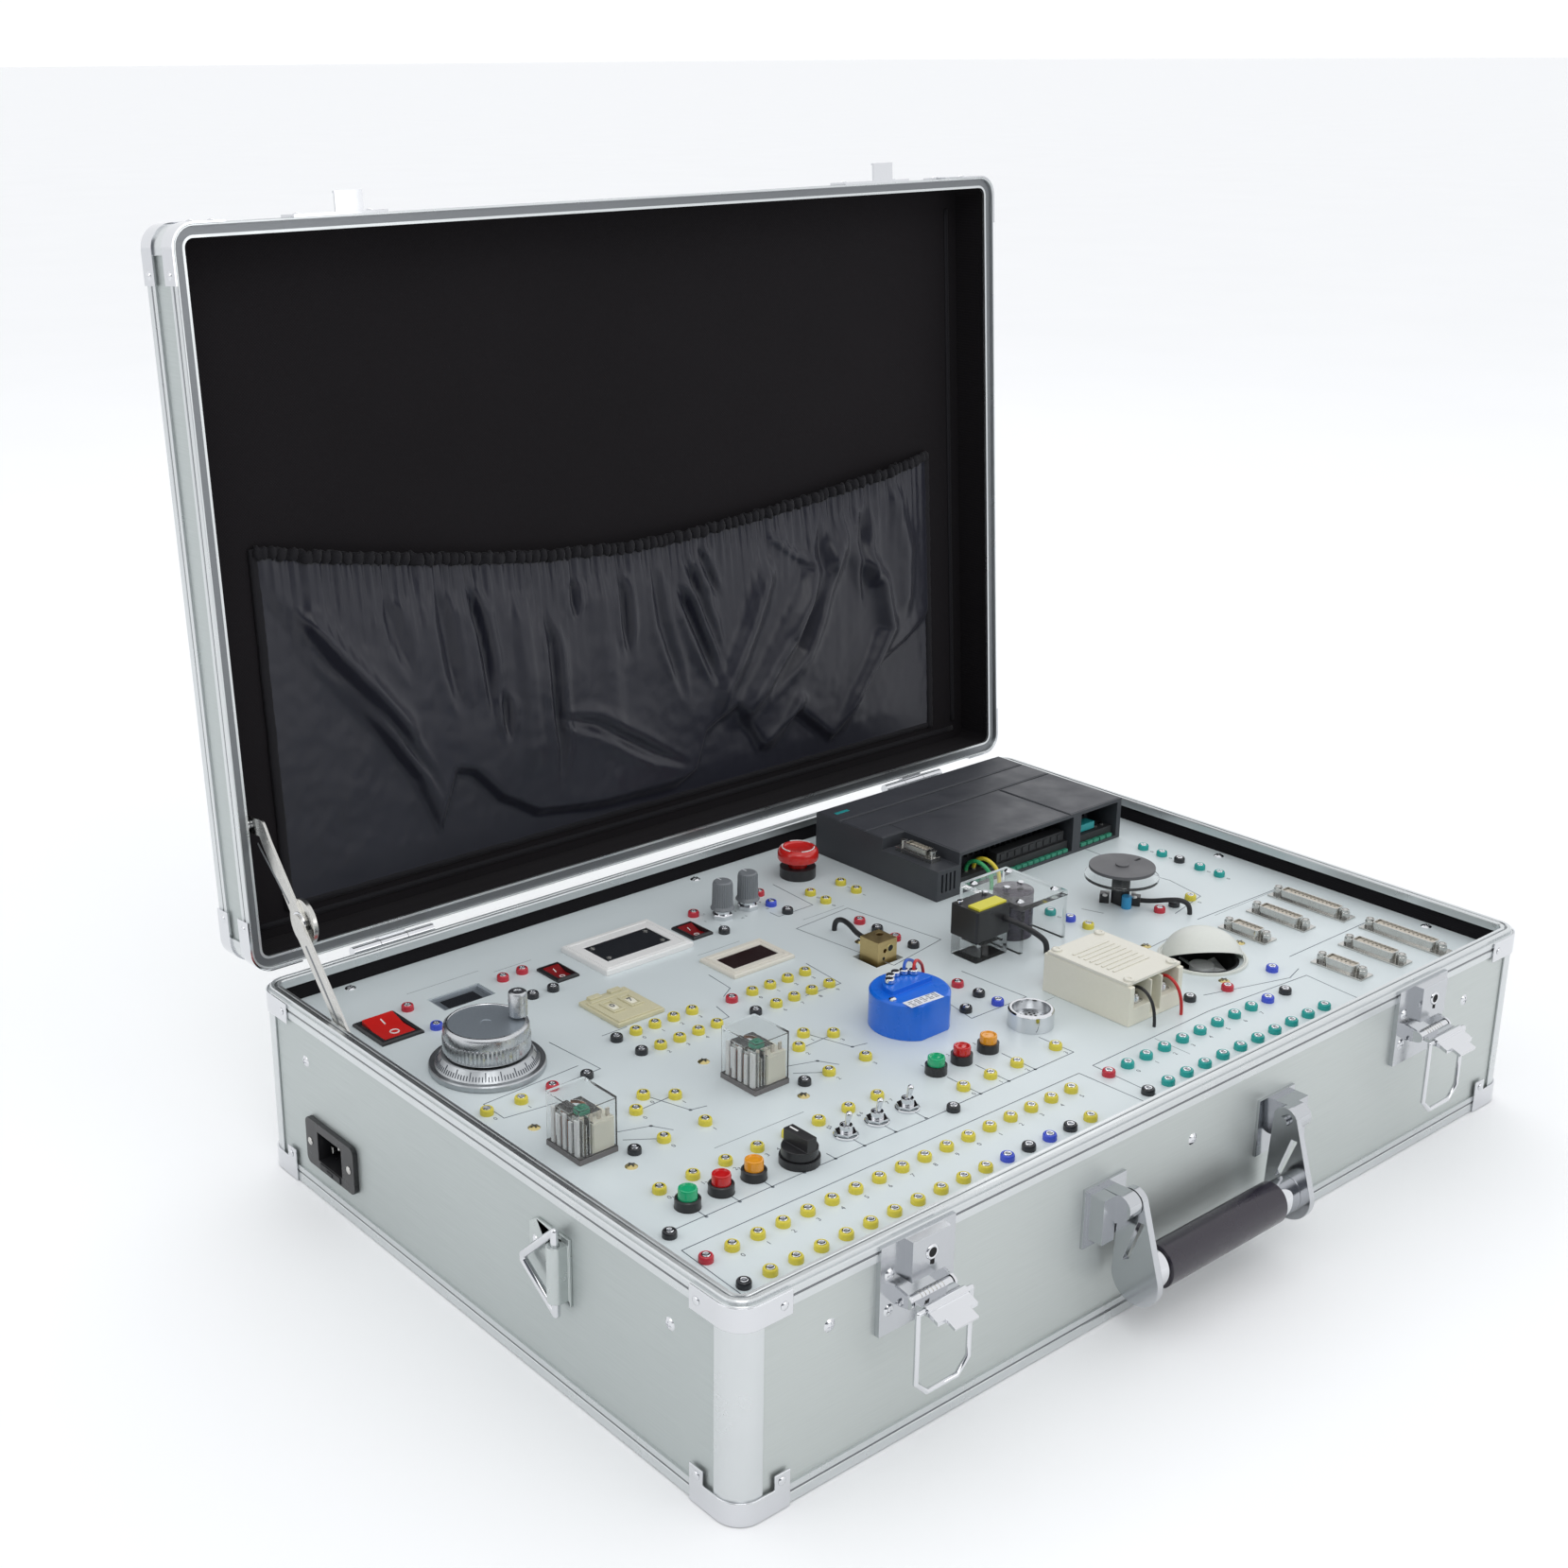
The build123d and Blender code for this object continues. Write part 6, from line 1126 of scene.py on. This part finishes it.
with piece("e_stop_dome", "red", "e_stop", sharp=30, stands_for=("e_stop_head",)) as bm:
    lathe(bm, [(0, 79), (5.9, 79), (5.9, 106.3), (11.8, 106.4), (12.6, 106.8), (13.0, 107.6),
               (13.0, 111.4), (12.5, 113.1), (11.5, 114.3), (10.1, 114.9), (9.1, 114.7), (8.4, 114.0), (7.9, 113.8),
               (0, 114.0)], (55, 151, 0), seg=72)
with piece("e_stop_arrows", "white", "e_stop", sharp=60) as bm:
    for k in range(3):
        line = []
        for i in range(15):
            a = radians(120 * k + 5.6 * i)
            line.append((55 + 10.2 * cos(a), 151 + 10.2 * sin(a), 114.93))
        tube(bm, line, 0.42, 6)

for node, x, y, base, top, tint, body in (
        ("green_button", -250, -108, 99, 105, "lens_green", "green_button"),
        ("red_button", -230, -108, 99, 105, "lens_red", "red_button"),
        ("amber_button", -210, -108, 99, 105, "lens_amber", "amber_button"),
        ("lamp_lenses", -70, -90, 99.6, 104.5, "lens_green", "case_base"),
        ("lamp_lenses", -51, -90, 99.6, 104.5, "lens_red", "case_base"),
        ("lamp_lenses", -31, -90, 99.6, 104.5, "lens_amber", "case_base")):
    with piece("%s_%s_cap" % (node, tint), tint, body, sharp=30, stands_for=(node,)) as bm:
        low = base - 14 if node != "lamp_lenses" else base
        lathe(bm, [(0, low), (4.5, low), (4.6, top - 0.9), (4.4, top - 0.25), (3.9, top), (3.4, top - 0.05),
                   (3.15, top - 0.6), (2.9, top - 0.65), (1.2, top - 0.5), (0, top - 0.45)], (x, y, 0), seg=40)
dress("selector_knob", "black", 0.6)
top = top_of("selector_knob")
with piece("selector_pointer", "white", "selector", sharp=30, bevel=0.1) as bm:
    box(bm, -184.5, -183.5, -109.5, -104.0, top(-184, -108) - 0.1, top(-184, -108) + 0.15)
for i in (1, 2, 3):
    dress("toggle_%d" % i, "chrome", 0, 60)
with piece("toggle_collars", "chrome", sharp=30) as bm:
    for x in (-150, -129, -108):
        lathe(bm, [(6.3, 95.1), (6.3, 95.9), (5.9, 96.2)], (x, -107, 0), seg=40)
with piece("buzzer_grille", "zinc", sharp=30) as bm:
    lathe(bm, [(10.9, 98.6), (10.4, 99.4), (6.0, 100.3), (0, 100.7)], (9, -84, 0), seg=48)
# Dark discs in the grille: painted shade of its holes
with piece("buzzer_hole_shade", "hole_shade", sharp=30) as bm:
    for ring, r in ((1, 0.0), (6, 2.6), (12, 5.2), (18, 7.8)):
        for i in range(ring):
            a = 2 * pi * i / ring
            lathe(bm, [(0.75, 100.75 - 0.016 * r * r), (0, 100.8 - 0.016 * r * r)],
                  (9 + r * cos(a), -84 + r * sin(a), 0), seg=10)


# Relays, controller and the experiments

dress("relay_covers", "clear_cover", 0.25)


def core_finish(lo, hi):
    if hi.z < 98.5:
        return "relay_base"
    if hi.x - lo.x < 3 and hi.y - lo.y < 3:
        return "contact"
    return "copper" if hi.x - lo.x < 13.5 else "nickel"


dress("relay_cores", core_finish, 0.2)
for n, (rx, ry) in enumerate(((-255.5, -35.5), (-147.0, -37.0))):
    with piece("relay_coil_case_%d" % (n + 1), "cream", sharp=30, bevel=0.5) as bm:
        box(bm, rx - 3.0, rx + 10.2, ry - 12.0, ry + 2.0, 98.0, 114.0)
        box(bm, rx - 2.4, rx + 8.6, ry - 12.3, ry - 11.8, 100.0, 113.0)
    with piece("relay_springs_%d" % (n + 1), "white", sharp=30, bevel=0.2) as bm:
        for k in range(5):
            yy = ry - 10.5 + 4.6 * k
            box(bm, rx - 10.3, rx - 9.2, yy, yy + 2.6, 98.0, 117.0 - (k % 2) * 2.4)
    with piece("relay_armature_%d" % (n + 1), "nickel", sharp=30, bevel=0.2) as bm:
        for k in range(4):
            xx = rx - 8.4 + 1.9 * k
            box(bm, xx, xx + 0.6, ry - 12.0, ry - 4.0, 98.0, 117.5 - (k % 2) * 3.0)
        box(bm, rx - 8.6, rx - 2.0, ry - 2.0, ry + 9.0, 116.4, 117.4)
    with piece("relay_indicator_%d" % (n + 1), "pcb_green", sharp=30, bevel=0.2) as bm:
        box(bm, rx - 7.0, rx - 1.0, ry - 8.0, ry - 3.0, 117.6, 120.4)
        box(bm, rx - 6.0, rx - 3.6, ry - 7.0, ry - 4.6, 120.2, 121.8)

dress("plc_housing", lambda lo, hi: "slate" if hi.x - lo.x > 150 else
      ("nickel" if hi.x - lo.x < 12 else "black_matt"), 0.4)
with piece("plc_roof_plates", "slate_roof", sharp=30, bevel=0.35) as bm:
    for x0, x1, y0, y1 in ((111.5, 212.0, 65.0, 125.0), (214.5, 264.0, 65.0, 125.0), (92.0, 264.0, 128.0, 149.0),
                           (92.0, 264.0, 152.0, 172.0), (92.0, 109.0, 113.5, 125.0)):
        box(bm, x0, x1, y0, y1, 122.6, 123.25)
with piece("plc_teal_mark", "teal", sharp=30, bevel=0.1) as bm:
    box(bm, 97.5, 109.0, 160.6, 163.4, 123.2, 123.5)
with piece("plc_terminal_screws", "nickel", sharp=40) as bm:
    for i in range(14):
        lathe(bm, [(2.0, 103.9), (2.0, 104.5), (1.5, 104.9), (0, 104.9)], (118.2 + 7.2 * i, 73, 0), seg=14)
    for i in range(5):
        lathe(bm, [(2.0, 103.9), (2.0, 104.5), (1.5, 104.9), (0, 104.9)], (230.0 + 6.6 * i, 73, 0), seg=14)
with piece("plc_bay_comb", "slate", sharp=30, bevel=0.2) as bm:
    for i in range(20):
        x = 114.5 + 5.0 * i
        box(bm, x, x + 1.6, 84.6, 88.2, 106, 119.6)
    for i in range(6):
        x = 228.0 + 5.0 * i
        box(bm, x, x + 1.6, 84.6, 88.2, 106, 119.6)
    box(bm, 112.2, 216.8, 83.6, 84.8, 119.0, 120.4)
with piece("plc_terminal_strip", "pcb_green", sharp=30, bevel=0.3) as bm:
    for i in range(18):
        x = 114.0 + 5.6 * i
        box(bm, x, x + 4.8, 64.6, 67.0, 97.0, 99.4)
    for i in range(5):
        x = 227.0 + 6.4 * i
        box(bm, x, x + 5.4, 64.6, 67.0, 97.0, 99.4)
with piece("plc_terminal_covers", "black_matt", sharp=30, bevel=0.4) as bm:
    box(bm, 150, 214, 69.0, 77.0, 104.0, 110.6)
    for i in range(9):
        x = 153 + 6.8 * i
        box(bm, x, x + 4.4, 68.4, 69.2, 105.2, 109.4)
with piece("plc_side_plug", "teal", sharp=30, bevel=0.5) as bm:
    box(bm, 232, 246, 70, 78, 104.4, 109.4)
with piece("plc_port_pins", "contact", sharp=30, bevel=0.1) as bm:
    box(bm, 99.4, 104.6, 83.4, 99.6, 118.6, 120.4)
# Dark discs on the port: painted shade of its pin holes
with piece("plc_port_hole_shade", "hole_shade") as bm:
    for i in range(9):
        x = 101.0 if i < 5 else 103.0
        y = 86.0 + 2.7 * i if i < 5 else 87.4 + 2.7 * (i - 5)
        lathe(bm, [(0.6, 120.4), (0, 120.46)], (x, y, 0), seg=8)

dress("heater_block", lambda lo, hi: "black_matt" if hi.z < 93 else "brass", 0.4)
# Dark discs on the block: painted shade of its bores
with piece("heater_bore_shade", "hole_shade") as bm:
    lathe(bm, [(1.9, 0.0), (1.9, 0.08), (0, 0.08)], (9.2, 22.5, 102.8), "-Y", 20)
    lathe(bm, [(1.0, 0.0), (1.0, 0.08), (0, 0.08)], (4.0, 22.5, 97.5), "-Y", 14)
with piece("heater_bore_rim", "brass_screw", sharp=60) as bm:
    lathe(bm, [(1.9, 0.0), (2.0, 0.25), (2.5, 0.25), (2.6, 0.0)], (9.2, 22.5, 102.8), "-Y", 24)
with piece("heater_clip", "black_matt", sharp=40, bevel=0.5) as bm:
    box(bm, 4.4, 9.6, 36.8, 39.2, 99.5, 106.4)

dress("temperature_transmitter", lambda lo, hi: "blue" if hi.x - lo.x > 20 else "chrome", 0.8)
top = top_of("temperature_transmitter")
label_z = top(-45, -56)
with piece("transmitter_label", "label", sharp=30, bevel=0.15) as bm:
    turn = Matrix.Rotation(radians(-4), 4, "Z")
    box(bm, -57, -34, -60.0, -52.6, label_z - 0.05, label_z + 0.2, turn)
with piece("transmitter_label_lines", "ink", sharp=180) as bm:
    for k, y in enumerate((-58.2, -56.8, -55.4, -54.0)):
        for j in range(5):
            x0 = -55.4 + 4.3 * j + 0.7 * (k % 2)
            stroke(bm, [(x0, y + 0.1), (x0 + 3.2 - 0.5 * ((j + k) % 3), y - 0.1)], 0.5, label_z + 0.2)
with piece("transmitter_trim_screw", "chrome", sharp=40) as bm:
    z = top(-58, -46)
    lathe(bm, [(2.0, z), (2.0, z + 0.8), (1.5, z + 1.2), (0, z + 1.2)], (-58, -46, 0), seg=18)
    box(bm, -59.4, -56.6, -46.25, -45.75, z + 1.1, z + 1.4)


def sensor_finish(lo, hi):
    if hi.z < 109:
        return "clear"
    if hi.x - lo.x < 6:
        return "chrome"
    return "black" if hi.z < 127.5 else "label_yellow"


dress("photo_sensor", sensor_finish, 0.5)
with piece("photo_sensor_label", "label_yellow", sharp=30, bevel=0.2) as bm:
    box(bm, 44.6, 67.4, -12.4, -3.6, 126.9, 128.3)


def stand_finish(lo, hi):
    w, d, h = hi.x - lo.x, hi.y - lo.y, hi.z - lo.z
    if lo.z > 120:
        return "chrome" if w < 10 else "clear"
    if w < 4 or (w > 40 and h < 6):
        return "clear"
    if hi.z < 93:
        return "black_matt"
    if 20 < w < 30:
        return "motor_can"
    if lo.x > 160 and h > 7.5 and w < 6.5:
        return "sensor_blue"
    return "black"


dress("acrylic_stands", stand_finish, 0.25)
with piece("slot_sensor_screws", "white", sharp=40) as bm:
    for x, y in ((168.0, -3.4), (173.6, -1.0), (179.4, -17.0), (184.4, -12.6)):
        lathe(bm, [(1.5, 100.9), (1.5, 101.4), (1.0, 101.7), (0, 101.7)], (x, y, 0), seg=14)
dress("sensor_disc", "disc", 0.2)

dress("solid_state_relay", lambda lo, hi: "cream" if hi.z - lo.z > 15 else
      ("clear_cream" if hi.x - lo.x > 30 else "chrome"), 0.5)
with piece("solid_relay_cover_slats", "clear_cream", sharp=30, bevel=0.3) as bm:
    for i in range(8):
        y = -104 + 4.0 * i
        box(bm, 52.0, 82.0, y, y + 1.6, 119.9, 120.6)
    for x, y in ((50.5, -115.0), (86.5, -115.0), (50.5, -65.0), (86.5, -65.0)):
        lathe(bm, [(3.0, 119.9), (3.0, 120.9), (2.4, 121.2), (1.4, 121.2), (1.2, 120.6), (0, 120.6)], (x, y, 0), seg=20)
with piece("solid_relay_terminals", "nickel", sharp=30, bevel=0.3) as bm:
    for x in (57.0, 80.0):
        for y in (-113.0, -67.0):
            box(bm, x - 4.6, x + 4.6, y - 3.6, y + 3.6, 105.0, 106.2)
            lathe(bm, [(3.4, 108.9), (3.4, 109.6), (2.7, 110.2), (0, 110.3)], (x, y, 0), seg=22)

dress("dome_hood", lambda lo, hi: "black_matt" if hi.z < 95.5 else "hood", 0.5)
dress("fan_rotor", "fan", 0.5)
with piece("hood_rim_bead", "hood", sharp=60) as bm:
    line = []
    for i in range(64):
        a = 2 * pi * i / 64
        line.append((150 + 24.6 * cos(a), -90 + 24.6 * sin(a), 96.2))
    tube(bm, line, 0.7, 8, closed=True)
dress("d_sub_connectors", "nickel", 0.25)
with piece("d_sub_inserts", "contact", sharp=30, bevel=0.2) as bm:
    for y in (-86, -150):
        for x, length in ((262, 54), (231, 41), (198, 33)):
            a = length / 2 - 8.0
            box(bm, x - 3.1, x + 3.1, y - a, y + a, 97.0, 99.9)
# Dark discs on the inserts: painted shade of the socket holes
with piece("d_sub_hole_shade", "hole_shade") as bm:
    for y in (-86, -150):
        for x, length, pins in ((262, 54, 13), (231, 41, 8), (198, 33, 5)):
            for row, count in ((-1, pins), (1, pins - 1)):
                for i in range(count):
                    yy = y + (i - (count - 1) / 2) * 2.77
                    lathe(bm, [(0.62, 99.92), (0, 99.97)], (x + 1.42 * row, yy, 0), seg=8)
with piece("d_sub_jack_nuts", "nickel", sharp=30, bevel=0.15) as bm:
    for y in (-86, -150):
        for x, length in ((262, 54), (231, 41), (198, 33)):
            for s in (-1, 1):
                yy = y + s * (length / 2 - 3.5)
                lathe(bm, [(2.9, 96.0), (2.9, 99.4), (2.3, 100.0), (2.2, 101.0), (1.4, 101.0), (1.2, 100.2), (0, 100.2)],
                      (x, yy, 0), seg=6)

# Mains inlet details, stay rivets
with piece("inlet_fuse_drawer", "black_matt", sharp=30, bevel=0.4) as bm:
    box(bm, -302.5, -301.6, 119.5, 140.5, 20.8, 24.9)
    box(bm, -303.1, -302.3, 127.0, 133.0, 21.6, 23.8)
with piece("stay_rivets", "chrome", "stay_upper", sharp=40) as bm:
    for axis, x in (("-X", -290.8), ("X", -286.3)):
        lathe(bm, [(6.6, 0.0), (6.4, 0.5), (5.4, 0.6), (3.6, 0.55), (3.4, 0.9), (3.2, 1.3), (0, 1.5)],
              (x, 166.6, 153.4), axis, 32)


# Dark flattened tubes along the stay arms: painted shade in their slots
for name, body, x, a, b in (("stay_lower_slot", "stay_lower", -292.6, (119.3, 100.9), (166.6, 153.4)),
                            ("stay_upper_slot", "stay_upper", -290.8, (166.6, 153.4), (218.1, 194.8))):
    with piece(name, "painted_recess_shade", body, sharp=60) as bm:
        run = Vector((0, b[0] - a[0], b[1] - a[1])).normalized()
        start, stop = Vector((x, a[0], a[1])) + run * 13, Vector((x, b[0], b[1])) - run * 13
        tube(bm, [start.lerp(stop, i / 12) for i in range(13)], 1.0, 8, (0.06, 1.0))


# Leads: each is one smooth curve through the part's own route

def lead(name, material, points, diameter):
    data = bpy.data.curves.new(name, "CURVE")
    data.dimensions = "3D"
    data.resolution_u = 14
    data.bevel_depth = diameter / 2 * MM
    data.bevel_resolution = 4
    data.use_fill_caps = True
    spline = data.splines.new("NURBS")
    spline.points.add(len(points) - 1)
    for p, q in zip(spline.points, points):
        p.co = (q[0] * MM, q[1] * MM, q[2] * MM, 1.0)
    spline.order_u = 3
    spline.use_endpoint_u = True
    data.materials.append(M[material])
    ob = bpy.data.objects.new(name, data)
    scene.collection.objects.link(ob)
    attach(ob, "case_base")
    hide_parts("hookup_wires")
    return ob


Z = TOP
lead("heater_lead", "rubber", [(14, 74, Z), (14, 74, Z + 5.5), (12.5, 67, Z + 10), (9.5, 57, Z + 11),
                               (7, 46.5, Z + 8), (7, 37.5, Z + 8)], 3.2)
lead("photo_sensor_lead", "rubber", [(65, -13.5, Z + 23), (65, -19.5, Z + 23), (73, -24.5, Z + 18),
                                     (83, -28, Z + 10), (86, -28.5, Z + 5), (86, -28.5, Z)], 3.4)
EX, EY, UX, UY = 184.0, -18.0, 0.5736, -0.8192
lead("disc_sensor_lead", "rubber", [(EX, EY, Z + 3.2), (EX + UX * 6, EY + UY * 6, Z + 3.2),
                                    (EX + 7.5, EY - 14, Z + 6), (EX + 10, EY - 22, Z + 8), (EX + 12, EY - 28, Z + 6),
                                    (EX + 12, EY - 28, Z)], 3.0)
for k, (dx, s, tint) in enumerate(((-11.5, 1, "wire_red"), (-11.5, -1, "rubber"), (11.5, -1, "wire_red"))):
    x0, y0, high = 68.5 + dx, -90 + 23 * s, Z + 14
    lead("solid_relay_lead_%d" % (k + 1), tint,
         [(x0, y0, high), (x0, y0, high + 6), (x0, y0 + 10 * s, high + 5), (x0 + 1, y0 + 15 * s, high - 5),
          (x0 + 1, y0 + 15 * s, Z)], 1.8)
for k, (angle, lean, length) in enumerate(((35.0, 0.0, 42.3), (62.5, 4.0, 47.3))):
    a = radians(angle)
    x0, y1, high = -40 + 11 * cos(a), -41 + 11 * sin(a), Z + 27
    xe, ye = -40 + 23.5 + lean / 2, -41 + 12 + 2 * lean
    lead("transmitter_lead_%d" % (k + 1), "wire_red" if k == 0 else "wire_blue",
         [(x0, y1, high), (x0, y1, high + 3.5), (x0 + 6, y1 + 3, high + 3), (xe, ye, high - 6), (xe, ye, Z)],
         1.8)
for i, tint in enumerate(("wire_green", "wire_yellow")):
    x0 = 126 + 7 * i
    lead("controller_lead_%d" % (i + 1), tint,
         [(x0, 73, Z + 9), (x0, 73, Z + 14), (x0 + 1, 66, Z + 18.5), (x0 + 3, 58, Z + 15), (x0 + 4, 54.5, Z + 8),
          (x0 + 4, 54.5, Z)], 2.6)
